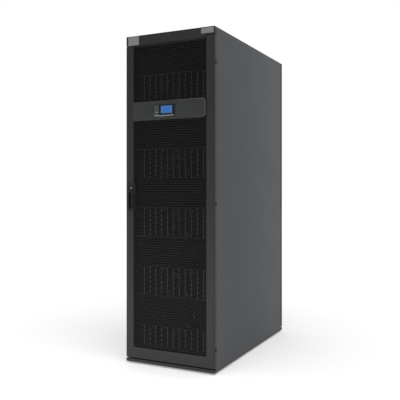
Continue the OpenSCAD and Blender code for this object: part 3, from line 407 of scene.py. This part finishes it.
def make_materials():
    paint = bpy.context.scene.cooler_paint
    made = {
        "door_paint": powder_coat("door_paint", tuple(paint.door)),
        "panel_paint": powder_coat("panel_paint", tuple(paint.panel), 0.55, specular=0.06),
        # The frame and guide colours are black paint and painted shade of the unit's dark inside.
        "frame_paint": powder_coat("frame_paint", tuple(paint.frame), 0.6, specular=0.05),
        "guide_paint": powder_coat("guide_paint", tuple(paint.guide), 0.55, specular=0.05),
        "mesh_paint": powder_coat("mesh_paint", tuple(paint.mesh), 0.5, specular=0.08),
        "bezel_paint": powder_coat("bezel_paint", tuple(paint.bezel), 0.34, 1100.0, 0.18),
        "badge_silver": brushed_metal("badge_silver", (0.205, 0.202, 0.205), 0.42, (0.06, 1, 1)),
        "zinc": spangled_zinc("zinc", (0.50, 0.51, 0.52), 0.34),
        "galvanised": spangled_zinc("galvanised", (0.40, 0.42, 0.44), 0.45),
        "steel": brushed_metal("steel", (0.42, 0.43, 0.44), 0.38, (1, 1, 0.05)),
        # The motors are black, made darker still as painted shade of the unit's dark inside.
        "motor_grey": powder_coat("motor_grey", (0.004, 0.0042, 0.0045), 0.6, specular=0.05),
        # The fins are aluminium made much darker, as painted shade of the unit's dark inside.
        "fin_aluminium": finned_aluminium("fin_aluminium", (0.10, 0.103, 0.106)),
        "copper": copper_tube("copper", (0.72, 0.36, 0.22)),
        "brass": brushed_metal("brass", (0.68, 0.50, 0.24), 0.35),
        "black_plastic": moulded_plastic("black_plastic", (0.0140, 0.0146, 0.0146), specular=0.12),
        "lever_black": moulded_plastic("lever_black", (0.0085, 0.0092, 0.0092), 0.42, specular=0.12),
        # The impellers are black, made darker still as painted shade of the unit's dark inside.
        "impeller_plastic": moulded_plastic("impeller_plastic", (0.003, 0.003, 0.0031), 0.6, specular=0.05),
        "button_grey": moulded_plastic("button_grey", (0.45, 0.46, 0.46), 0.4),
        "screen_glass": lit_screen("screen_glass", tuple(paint.screen)),
        "switch_red": moulded_plastic("switch_red", (0.48, 0.035, 0.02), 0.35),
        "filter_media": filter_paper("filter_media", (0.62, 0.63, 0.60)),
        "lock_chrome": brushed_metal("lock_chrome", (0.13, 0.13, 0.133), 0.35),
        "wheel_rubber": worn_rubber("wheel_rubber", (0.022, 0.022, 0.023)),
        "key_grey": moulded_plastic("key_grey", (0.050, 0.053, 0.052), 0.45, specular=0.2),
        "lip_grey": moulded_plastic("lip_grey", (0.185, 0.200, 0.212), 0.4, specular=0.3),
        "smoked_glass": moulded_plastic("smoked_glass", (0.0035, 0.011, 0.023), 0.2, 3000.0, 0.12),
        # The guard wires are black, made darker still as painted shade of the unit's dark inside.
        "guard_wire": powder_coat("guard_wire", (0.005, 0.005, 0.0052), 0.6, specular=0.05),
        # The guide paint made much lighter: a painted highlight on the rolled vane edges.
        "vane_edge_painted_highlight": powder_coat("vane_edge_painted_highlight", (0.046, 0.047, 0.048), 0.4, specular=0.12),
        # Painted shade of the finger recess along one half of each lever's face.
        "finger_recess_shade": moulded_plastic("finger_recess_shade", (0.004, 0.0042, 0.0042), 0.6, specular=0.06),
        # Painted shade of the recess round each lock.
        "recess_painted_shade": moulded_plastic("recess_painted_shade", (0.003, 0.003, 0.003), 0.6, specular=0.06),
        # The bezel paint made eight times lighter: a painted highlight on the fillets of the bezel's upper
        # and right edges.
        "bezel_rim_painted_highlight": powder_coat("bezel_rim_painted_highlight", shade(paint.bezel, 8.0), 0.3, 1100.0, 0.3),
        # The door paint made lighter: a painted highlight on the hinge knuckles.
        "hinge_painted_highlight": powder_coat("hinge_painted_highlight", shade(paint.door, 2.8), 0.5),
        # Painted shade of the seam along the top of the headers.
        "seam_shade_black": powder_coat("seam_shade_black", (0.006, 0.006, 0.0062), 0.5, specular=0.08),
        "screw_black": moulded_plastic("screw_black", (0.02, 0.02, 0.021), 0.35),
    }
    MATERIALS.update(made)


# ---------------------------------------------------------------- shaping

def node_body(node):
    return frame["nodes"][node]["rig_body"]


def copy_of(node):
    """A merged copy of a CAD node's mesh with its flat faces whole, ready to be shaped."""
    bm = bmesh.new()
    bm.from_mesh(frame["nodes"][node].data)
    bmesh.ops.remove_doubles(bm, verts=bm.verts[:], dist=2e-6)
    bmesh.ops.dissolve_limit(bm, angle_limit=math.radians(0.4), verts=bm.verts[:], edges=bm.edges[:])
    bm.normal_update()
    return bm


def round_edges(bm, width, segments=2, least=ROUND_ANGLE, where=None, material=-1):
    """Rounds the outer edges that turn by more than least degrees; where() picks them by their middle."""
    turn = math.radians(least)
    chosen = []
    for edge in bm.edges:
        if len(edge.link_faces) != 2 or not edge.is_convex or edge.calc_face_angle(0.0) < turn:
            continue
        if where is None or where((edge.verts[0].co + edge.verts[1].co) / 2):
            chosen.append(edge)
    bmesh.ops.bevel(bm, geom=chosen, offset=width, offset_type="OFFSET", segments=segments, profile=0.5,
                    affect="EDGES", clamp_overlap=True, material=material)
    bm.normal_update()


def make_piece(name, bm, material, body, stands_for=(), extra=()):
    """Turns a bmesh into a piece that rides on a body, in one material or with some extra ones after it."""
    bm.normal_update()
    for face in bm.faces:
        face.smooth = True
    for edge in bm.edges:
        edge.smooth = len(edge.link_faces) == 2 and edge.calc_face_angle(0.0) < SMOOTH_ANGLE
    mesh = bpy.data.meshes.new(name)
    bm.to_mesh(mesh)
    bm.free()
    for key in (material, *extra):
        mesh.materials.append(MATERIALS[key])
    piece = bpy.data.objects.new(name, mesh)
    bpy.context.scene.collection.objects.link(piece)
    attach(piece, body)
    if stands_for:
        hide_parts(*stands_for)


def softened(node, name, width, segments=2, material=None):
    """A CAD node with its outer edges rounded, which stands for the node."""
    bm = copy_of(node)
    round_edges(bm, width, segments)
    slot = RECORD_SLOTS[node]
    make_piece(name, bm, material or slot, node_body(node), (node,))


def box_between(bm, low, high):
    """Adds a box between two corners."""
    size = Vector(high) - Vector(low)
    middle = (Vector(high) + Vector(low)) / 2
    place = Matrix.Translation(middle) @ Matrix.Diagonal((*size, 1.0))
    bmesh.ops.create_cube(bm, size=1.0, matrix=place)


def rod_between(bm, start, end, radius, segments):
    """Adds a rod from one point to another."""
    start, end = Vector(start), Vector(end)
    along = end - start
    turn = along.to_track_quat("Z", "Y").to_matrix().to_4x4()
    bmesh.ops.create_cone(bm, cap_ends=True, segments=segments, radius1=radius, radius2=radius,
                          depth=along.length, matrix=Matrix.Translation((start + end) / 2) @ turn)


def cut_away(bm, point, direction):
    """Removes what lies past a plane."""
    bmesh.ops.bisect_plane(bm, geom=bm.verts[:] + bm.edges[:] + bm.faces[:], dist=1e-6,
                           plane_co=point, plane_no=direction, clear_outer=True)


# ---------------------------------------------------------------- perforated sheets

def hexagon_row(bm, pitch, web, count):
    """Adds a row of hexagonal rings across X, side by side."""
    bmesh.ops.create_circle(bm, cap_ends=True, segments=6, radius=pitch / math.sqrt(3),
                            matrix=Matrix.Rotation(math.pi / 2, 4, "X"))
    bmesh.ops.inset_individual(bm, faces=bm.faces[:], thickness=web / 2)
    middle = max(bm.faces, key=lambda face: face.calc_area())
    bmesh.ops.delete(bm, geom=[middle], context="FACES_ONLY")
    ring = bm.verts[:] + bm.edges[:] + bm.faces[:]
    for place in range(1, count):
        shift_copy(bm, ring, (place * pitch, 0, 0))


def shift_copy(bm, geometry, shift):
    """Copies part of a mesh and moves the copy."""
    copied = bmesh.ops.duplicate(bm, geom=geometry)["geom"]
    moved = [part for part in copied if isinstance(part, bmesh.types.BMVert)]
    bmesh.ops.translate(bm, verts=moved, vec=shift)


def perforated_field(low, high, from_row, to_row):
    """A flat staggered field of hexagonal holes, its rows counted up from low, cut at the two corners."""
    pitch, web, rise = sheet_sizes().pitch, sheet_sizes().web, row_rise()
    across = int((high.x - low.x) / pitch) + 3
    bm = bmesh.new()
    hexagon_row(bm, pitch, web, across)
    shift_copy(bm, bm.verts[:] + bm.edges[:] + bm.faces[:], (pitch / 2, 0, rise))
    pair = bm.verts[:] + bm.edges[:] + bm.faces[:]
    for level in range(2, to_row - from_row, 2):
        shift_copy(bm, pair, (0, 0, level * rise))
    start = Vector(((low.x + high.x) / 2 - across * pitch / 2, low.y, low.z + from_row * rise))
    bmesh.ops.translate(bm, verts=bm.verts[:], vec=start)
    bmesh.ops.remove_doubles(bm, verts=bm.verts[:], dist=2e-5)
    for point, direction in four_sides(low, high):
        cut_away(bm, point, direction)
    return bm


def four_sides(low, high):
    """The planes round an upright box: a point on each, and the way that it faces."""
    return (low, (-1, 0, 0)), (low, (0, 0, -1)), (high, (1, 0, 0)), (high, (0, 0, 1))


def faces_within(bm, low, high, margin=0.0):
    """The faces whose middle lies between two corners as seen from the front, or within a margin of them."""
    found = []
    for face in bm.faces:
        middle = face.calc_center_median()
        if (low.x - margin < middle.x < high.x + margin
                and low.z - margin < middle.z < high.z + margin):
            found.append(face)
    return found


def open_window(bm, low, high):
    """Cuts a window between two corners into a flat field."""
    reach = 0.02
    for point, direction in four_sides(low, high):
        near = faces_within(bm, low, high, reach)
        parts = {part for face in near for part in (face, *face.verts, *face.edges)}
        bmesh.ops.bisect_plane(bm, geom=list(parts), dist=1e-6, plane_co=point, plane_no=direction)
    bmesh.ops.delete(bm, geom=faces_within(bm, low, high), context="FACES")


def sheet_piece(name, bm, thick, side, node):
    """Gives a flat field its thickness, turned for the front or the back door."""
    made = bmesh.ops.extrude_face_region(bm, geom=bm.faces[:])
    moved = [part for part in made["geom"] if isinstance(part, bmesh.types.BMVert)]
    bmesh.ops.translate(bm, verts=moved, vec=(0, thick, 0))
    turn_to(bm, side)
    bmesh.ops.recalc_face_normals(bm, faces=bm.faces[:])
    make_piece(name, bm, "mesh_paint", node_body(node), (node,))


def turn_to(bm, side):
    """Turns what was made for the front to the back where that is its side."""
    if side == BACK:
        bmesh.ops.rotate(bm, verts=bm.verts[:], cent=(0, 0, 0), matrix=Matrix.Rotation(math.pi, 3, "Z"))


def front_corners(node, side):
    """The corners of a node as they would stand on the front door."""
    low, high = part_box(node)
    if side == BACK:
        low, high = Vector((-high.x, -high.y, low.z)), Vector((-low.x, -low.y, high.z))
    return low, high


def looked_at(tree):
    """A socket that is 1 for what the camera sees straight, in a reflection or through glass."""
    path = tree.nodes.new("ShaderNodeLightPath")
    seen = path.outputs["Is Camera Ray"]
    for ray in ("Is Glossy Ray", "Is Transmission Ray"):
        either = tree.nodes.new("ShaderNodeMath")
        either.operation = "MAXIMUM"
        tree.links.new(seen, either.inputs[0])
        tree.links.new(path.outputs[ray], either.inputs[1])
        seen = either.outputs[0]
    return seen


# ---------------------------------------------------------------- operators

class PaintParts(bpy.types.Operator):
    """Make the finishes and put them on every part of the frame"""
    bl_idname = "cooler.paint_parts"
    bl_label = "Paint Parts"

    def execute(self, context):
        make_materials()
        for name, node in frame["nodes"].items():
            node.data.materials.clear()
            node.data.materials.append(MATERIALS[OWN_FINISHES.get(name, RECORD_SLOTS[name])])
        return {"FINISHED"}


class CabinetPanels(bpy.types.Operator):
    """Make the panels, headers, skirts, blank plates, fan guards, the painted seam shades atop the headers
    and the vane noses
    """
    bl_idname = "cooler.cabinet_panels"
    bl_label = "Cabinet Panels"

    def execute(self, context):
        for node, (name, width) in CABINET_PIECES.items():
            softened(node, name, width)
        softened("fan_guards", "fan_guard_wires", 0.0002, 1, "guard_wire")
        self.header_seam_shades()
        self.vane_noses()
        return {"FINISHED"}

    def vane_noses(self):
        """Rolled front edges on the vanes of every second guide, found from the guides' own corners, and
        painted much lighter than the guides as a painted highlight.
        """
        low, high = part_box("air_guides")
        nearest, furthest, side_wall = 0.0003, 0.004, 0.004
        radius, inset = 0.0022, 0.001
        guides = copy_of("air_guides")
        near = [vert.co.copy() for vert in guides.verts
                if low.y + nearest < vert.co.y < low.y + furthest and abs(vert.co.x) < high.x - side_wall]
        guides.free()
        levels = sorted({round(at.z, 4) for at in near}, reverse=True)
        bm = bmesh.new()
        for top, bottom in list(zip(levels[0::2], levels[1::2]))[1::2]:
            corners = sorted((at for at in near if abs(at.z - bottom) < 1e-4), key=lambda at: at.x)
            for first, second in zip(corners[0::2], corners[1::2]):
                middle = (first + second) / 2
                depth = middle.y + inset
                rod_between(bm, (middle.x, depth, bottom), (middle.x, depth, top), radius, 8)
        make_piece("vane_noses", bm, "vane_edge_painted_highlight", node_body("air_guides"))

    def header_seam_shades(self):
        """A black strip along the upper front edge of each header: painted shade of the seam under the top
        panel's edge.
        """
        seam_shade = door_sizes().seam_shade
        end, proud, deep, drop = 0.003, 0.0004, 0.004, 0.0002
        low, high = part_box("header_fascias")
        for side, name in ((FRONT, "front_header_seam_shade"), (BACK, "rear_header_seam_shade")):
            bm = bmesh.new()
            box_between(bm, (low.x + end, low.y - proud, high.z - seam_shade),
                        (high.x - end, low.y + deep, high.z - drop))
            round_edges(bm, proud)
            turn_to(bm, side)
            make_piece(name, bm, "seam_shade_black", "cabinet")


class Doors(bpy.types.Operator):
    """Make both folded doors"""
    bl_idname = "cooler.doors"
    bl_label = "Doors"

    def execute(self, context):
        fold = door_sizes().fold
        softened("front_door_frame", "front_door", fold)
        softened("rear_door_frame", "rear_door", fold)
        return {"FINISHED"}


class PerforatedSheets(bpy.types.Operator):
    """Make the perforated sheets of both doors"""
    bl_idname = "cooler.perforated_sheets"
    bl_label = "Perforated Sheets"

    def execute(self, context):
        for side, node in ((FRONT, "front_mesh"), (BACK, "rear_mesh")):
            low, high = front_corners(node, side)
            rows = int((high.z - low.z) / row_rise()) + 2
            parts = self.front_parts(low, high, rows) if side == FRONT else self.rear_parts(low, high, rows)
            for part in parts:
                self.sheet(node, side, high.y - low.y, *part)
        return {"FINISHED"}

    def front_parts(self, low, high, rows):
        """One sheet up to the bezel and one above it, each with its corners, first row and last row."""
        bezel_low, bezel_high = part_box("display_bezel")
        lap = 0.003
        under, over = low.copy(), high.copy()
        under.z, over.z = bezel_high.z - lap, bezel_low.z + lap
        return ("front_sheet_lower", low, over, 0, rows), ("front_sheet_upper", under, high, 0, rows)

    def rear_parts(self, low, high, rows):
        """One sheet in two stretches of rows, so that neither piece gets too many faces."""
        half = rows // 4 * 2
        return ("rear_sheet_lower", low, high, 0, half), ("rear_sheet_upper", low, high, half, rows)

    def sheet(self, node, side, thick, name, low, high, first, last):
        """One sheet, open behind the handle's dish where it reaches past the dish at both ends."""
        dish_low, dish_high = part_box("front_handle_dish")
        end_lap, side_lap = 0.006, 0.0045
        window_low = Vector((dish_low.x, 0, dish_low.z + end_lap))
        window_high = Vector((dish_high.x - side_lap, 0, dish_high.z - end_lap))
        last = min(last, first + int((high.z - low.z) / row_rise()) + 3)
        bm = perforated_field(low, high, first, last)
        if low.z < window_low.z and high.z > window_high.z:
            open_window(bm, window_low, window_high)
        sheet_piece(name, bm, thick, side, node)


class Display(bpy.types.Operator):
    """Make the crowned bezel, and the display case with its keys, window and lip"""
    bl_idname = "cooler.display"
    bl_label = "Display"

    def execute(self, context):
        self.bezel()
        softened("display_housing", "display_case", 0.0008)
        softened("display_button_1", "button_left", 0.0005)
        softened("display_button_2", "button_right", 0.0005)
        self.key_panel()
        self.window()
        self.lip()
        return {"FINISHED"}

    def bezel(self):
        """Wide fillets above and at the right, where the bezel meets the door's opening; the fillets take a
        much lighter copy of the bezel paint as a painted highlight.
        """
        doors = door_sizes()
        low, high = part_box("display_bezel")
        band, back, foot, least = 0.021, 0.004, 0.012, 40.0

        def takes_fillet(at):
            in_front = at.y < high.y - back and at.z > low.z + foot
            return in_front and (at.z > high.z - band or at.x > high.x - band) and on_rim(at, low, high)

        bm = copy_of("display_bezel")
        # The wide fillets take the second material, the painted highlight.
        round_edges(bm, doors.bezel_fillet, 4, least, takes_fillet, 1)
        round_edges(bm, doors.bezel_edge, 2, least)
        make_piece("bezel", bm, "bezel_paint", node_body("display_bezel"),
                   ("display_bezel",), ("bezel_rim_painted_highlight",))

    def key_panel(self):
        """The pale strip that holds both keys in a shallow well."""
        low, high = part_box("display_housing")
        screen_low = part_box("display_screen")[0]
        left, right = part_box("display_button_1")[0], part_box("display_button_2")[1]
        face, rise, gap = low.y, 0.0007, 0.0025
        start, edge = low.x + 0.002, screen_low.x - 0.0145
        bottom, top = low.z + 0.009, high.z - 0.003
        well_low, well_high = left.z - gap, right.z + gap
        bm = bmesh.new()
        for first, last in (((start, bottom), (edge, well_low)),
                            ((start, well_high), (edge, top)),
                            ((start, well_low), (left.x - gap, well_high)),
                            ((right.x + gap, well_low), (edge, well_high))):
            box_between(bm, (first[0], face - rise, first[1]), (last[0], face, last[1]))
        make_piece("key_panel", bm, "key_grey", node_body("display_housing"))

    def window(self):
        """The smoked surround of the screen."""
        low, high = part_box("display_housing")
        screen_low, screen_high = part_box("display_screen")
        face, rise = low.y, 0.0006
        left, right = screen_low.x - 0.0135, high.x - 0.0025
        bottom, top = low.z + 0.009, high.z - 0.0025
        bm = bmesh.new()
        for first, last in (((left, bottom), (screen_low.x, top)), ((screen_high.x, bottom), (right, top)),
                            ((screen_low.x, bottom), (screen_high.x, screen_low.z)),
                            ((screen_low.x, screen_high.z), (screen_high.x, top))):
            box_between(bm, (first[0], face - rise, first[1]), (last[0], face, last[1]))
        make_piece("screen_surround", bm, "smoked_glass", node_body("display_housing"))

    def lip(self):
        """The pale lip under the screen: a bar that bows down and out in its middle."""
        low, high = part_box("display_housing")
        left, right, middle = low.x + 0.002, high.x - 0.006, (low.x + high.x) / 2
        half = (right - left) / 2
        radius, proud, height, steps = 0.0036, 0.0008, 0.0062, 20
        drop, push, off_middle = 0.0042, 0.0022, 0.002
        bm = bmesh.new()
        bmesh.ops.create_circle(bm, cap_ends=True, segments=12, radius=radius,
                                matrix=Matrix.Translation((left, low.y - proud, low.z + height))
                                @ Matrix.Rotation(math.pi / 2, 4, "Y"))
        profile = bm.faces[:]
        for _ in range(steps):
            made = bmesh.ops.extrude_face_region(bm, geom=profile)["geom"]
            moved = [part for part in made if isinstance(part, bmesh.types.BMVert)]
            bmesh.ops.translate(bm, verts=moved, vec=(2 * half / steps, 0, 0))
            bmesh.ops.delete(bm, geom=profile, context="FACES_ONLY")
            profile = [part for part in made if isinstance(part, bmesh.types.BMFace)]
        for vert in bm.verts:
            bow = 1 - ((vert.co.x - middle + off_middle) / half) ** 2
            vert.co.z -= drop * bow
            vert.co.y -= push * bow
        bmesh.ops.recalc_face_normals(bm, faces=bm.faces[:])
        make_piece("display_lip", bm, "lip_grey", node_body("display_housing"))


def on_rim(at, low, high):
    """Whether a point lies on the bezel's upper, lower or right edge, or in a round right corner."""
    rim, close = 0.0215, 0.0012
    near_side = min(abs(at.x - high.x), abs(at.z - low.z), abs(at.z - high.z)) < close
    in_corner = at.x > high.x - rim and (at.z > high.z - rim or at.z < low.z + rim)
    return near_side or in_corner


class Handles(bpy.types.Operator):
    """Make the swing handles of both doors"""
    bl_idname = "cooler.handles"
    bl_label = "Handles"

    def execute(self, context):
        for side, door in ((FRONT, "front"), (BACK, "rear")):
            softened(f"{door}_handle_dish", f"{door}_escutcheon", 0.0012)
            self.lever(side, door)
            self.lock_recess_shade(side, door)
            softened(f"{door}_lock", f"{door}_lock_cylinder", 0.0006)
            self.screws(side, door)
        return {"FINISHED"}

    def lever(self, side, door):
        """A lever with painted shade of a finger recess along one half of its face."""
        node = f"{door}_handle_lever"
        low, high = front_corners(node, side)
        shade_share, shade_stop, edge = 0.46, 0.003, 0.0022
        split = low.x + (high.x - low.x) * shade_share
        bm = copy_of(node)
        turn_to(bm, side)
        bmesh.ops.bisect_plane(bm, geom=bm.verts[:] + bm.edges[:] + bm.faces[:], dist=1e-6,
                               plane_co=(split, 0, 0), plane_no=(1, 0, 0))
        round_edges(bm, edge, 3)
        # Faces on the left half, below the top, take the painted shade.
        for face in bm.faces:
            middle = face.calc_center_median()
            face.material_index = int(middle.x < split and middle.z < high.z - shade_stop)
        turn_to(bm, side)
        make_piece(f"{door}_lever", bm, "lever_black", node_body(node),
                   (node,), ("finger_recess_shade",))

    def lock_recess_shade(self, side, door):
        """A black disc in the dish behind the lock: painted shade of a recess round the lock."""
        node = f"{door}_lock"
        low, high = front_corners(node, side)
        face = front_corners(f"{door}_handle_dish", side)[0].y
        middle, level = (low.x + high.x) / 2, (low.z + high.z) / 2
        radius, proud, sunk = 0.0160, 0.0003, 0.001
        bm = bmesh.new()
        rod_between(bm, (middle, face - proud, level), (middle, face + sunk, level), radius, 48)
        turn_to(bm, side)
        make_piece(f"{door}_lock_recess_shade", bm, "recess_painted_shade", node_body(f"{door}_handle_dish"))

    def screws(self, side, door):
        """Two domed screws with a cross on the head, above and below the lever."""
        node = f"{door}_handle_dish"
        low, high = front_corners(node, side)
        radius, dome, from_end = 0.0034, Matrix.Diagonal((1, 0.42, 1, 1)), 0.007
        bar, tilt = Matrix.Diagonal((0.0042, 0.0007, 0.0009, 1)), math.radians(35)
        middle, face = (low.x + high.x) / 2, low.y + 0.002
        head_y, bar_y = face - 0.0004, face - 0.0015
        bm = bmesh.new()
        for level in (low.z + from_end, high.z - from_end):
            bmesh.ops.create_uvsphere(bm, u_segments=20, v_segments=10, radius=radius,
                                      matrix=Matrix.Translation((middle, head_y, level)) @ dome)
            for turn in (0.0, math.pi / 2):
                place = Matrix.Translation((middle, bar_y, level)) @ Matrix.Rotation(turn + tilt, 4, "Y")
                bmesh.ops.create_cube(bm, size=1.0, matrix=place @ bar)
        turn_to(bm, side)
        make_piece(f"{door}_handle_screws", bm, "screw_black", node_body(node))


FLOOR_HALF = 30.0  # Half of the floor's side, in metres
SENSOR_WIDTH = 36.0  # In millimetres
SUN_SPREAD = math.radians(70)
SUN_TURN = (math.radians(12), math.radians(14), 0)
LOW_LAMP_SIZE = (1.6, 0.2)
LOW_LAMP_AIM = 0.25  # Height on the unit's front that the low lamp points at


class Studio(bpy.types.Operator):
    """Make the floor, the room's light, the lamps and the camera"""
    bl_idname = "cooler.studio"
    bl_label = "Studio"

    def execute(self, context):
        setup = context.scene.cooler_studio
        self.floor(setup)
        self.room(setup)
        self.lamps(setup)
        camera = bpy.data.objects.new("camera", bpy.data.cameras.new("camera"))
        context.scene.collection.objects.link(camera)
        context.scene.camera = camera
        camera.location = setup.camera_place
        camera.rotation_euler = (math.pi / 2, 0, setup.azimuth)
        camera.data.sensor_width = SENSOR_WIDTH
        camera.data.lens = setup.lens
        camera.data.shift_y = setup.shift
        context.scene.view_settings.view_transform = "Standard"
        return {"FINISHED"}

    def floor(self, setup):
        bm = bmesh.new()
        bmesh.ops.create_grid(bm, x_segments=1, y_segments=1, size=FLOOR_HALF)
        mesh = bpy.data.meshes.new("floor")
        bm.to_mesh(mesh)
        bm.free()
        material, shader = new_material("floor", (0.9, 0.9, 0.9), 0.9, specular=0.1)
        glow = add_node(material, "ShaderNodeMath", operation="MULTIPLY")
        glow.inputs[1].default_value = setup.floor_glow
        link(material, looked_at(material.node_tree), glow.inputs[0])
        link(material, glow.outputs[0], shader.inputs["Emission Strength"])
        shader.inputs["Emission Color"].default_value = (1, 1, 1, 1)
        mesh.materials.append(material)
        floor = bpy.data.objects.new("floor", mesh)
        bpy.context.scene.collection.objects.link(floor)

    def room(self, setup):
        world = bpy.data.worlds.new("room")
        bpy.context.scene.world = world
        world.use_nodes = True
        tree = world.node_tree
        room = tree.nodes["Background"]
        room.inputs["Color"].default_value = (1, 1, 1, 1)
        room.inputs["Strength"].default_value = setup.room_light
        white = tree.nodes.new("ShaderNodeBackground")
        white.inputs["Strength"].default_value = 1.0
        white.inputs["Color"].default_value = (1, 1, 1, 1)
        mix = tree.nodes.new("ShaderNodeMixShader")
        tree.links.new(looked_at(tree), mix.inputs[0])
        tree.links.new(room.outputs[0], mix.inputs[1])
        tree.links.new(white.outputs[0], mix.inputs[2])
        tree.links.new(mix.outputs[0], tree.nodes["World Output"].inputs["Surface"])

    def lamps(self, setup):
        sun = bpy.data.lights.new("top_light", "SUN")
        sun.energy = setup.top_light
        sun.angle = SUN_SPREAD
        lamp = bpy.data.objects.new("top_light", sun)
        lamp.rotation_euler = SUN_TURN
        bpy.context.scene.collection.objects.link(lamp)
        soft = bpy.data.lights.new("low_light", "AREA")
        soft.energy = setup.low_light
        soft.shape = "RECTANGLE"
        soft.size, soft.size_y = LOW_LAMP_SIZE
        lamp = bpy.data.objects.new("low_light", soft)
        lamp.location = setup.low_light_place
        aim = Vector((0.0, CAD_BOX[0][1], LOW_LAMP_AIM)) - Vector(setup.low_light_place)
        lamp.rotation_euler = aim.to_track_quat("-Z", "Y").to_euler()
        lamp.visible_camera = False
        lamp.visible_glossy = False
        bpy.context.scene.collection.objects.link(lamp)


class COOLER_PT_finish(bpy.types.Panel):
    """Sizes, colours and pieces of the cooling unit"""
    bl_label = "Cooling Unit"
    bl_idname = "COOLER_PT_finish"
    bl_space_type = "VIEW_3D"
    bl_region_type = "UI"
    bl_category = "Cooler"

    def draw(self, context):
        scene = context.scene
        for group in (scene.cooler_paint, scene.cooler_sheets, scene.cooler_doors, scene.cooler_studio):
            box = self.layout.box()
            for key in group.bl_rna.properties.keys():
                if key not in ("rna_type", "name"):
                    box.prop(group, key)
        for operator in OPERATORS:
            self.layout.operator(operator.bl_idname)


SETTINGS = {
    "cooler_paint": PaintColours,
    "cooler_sheets": SheetSizes,
    "cooler_doors": DoorSizes,
    "cooler_studio": StudioSetup,
}
OPERATORS = (PaintParts, CabinetPanels, Doors, PerforatedSheets, Display, Handles, Studio)


def register():
    for group in SETTINGS.values():
        bpy.utils.register_class(group)
    for name, group in SETTINGS.items():
        setattr(bpy.types.Scene, name, bpy.props.PointerProperty(type=group))
    for operator in OPERATORS:
        bpy.utils.register_class(operator)
    bpy.utils.register_class(COOLER_PT_finish)


def unregister():
    bpy.utils.unregister_class(COOLER_PT_finish)
    for operator in reversed(OPERATORS):
        bpy.utils.unregister_class(operator)
    for name in SETTINGS:
        delattr(bpy.types.Scene, name)
    for group in SETTINGS.values():
        bpy.utils.unregister_class(group)


def main():
    register()
    bpy.ops.cooler.paint_parts()
    bpy.ops.cooler.cabinet_panels()
    bpy.ops.cooler.doors()
    bpy.ops.cooler.perforated_sheets()
    bpy.ops.cooler.display()
    bpy.ops.cooler.handles()
    bpy.ops.cooler.studio()
    bpy.context.view_layer.update()


if __name__ == "__main__":
    main()
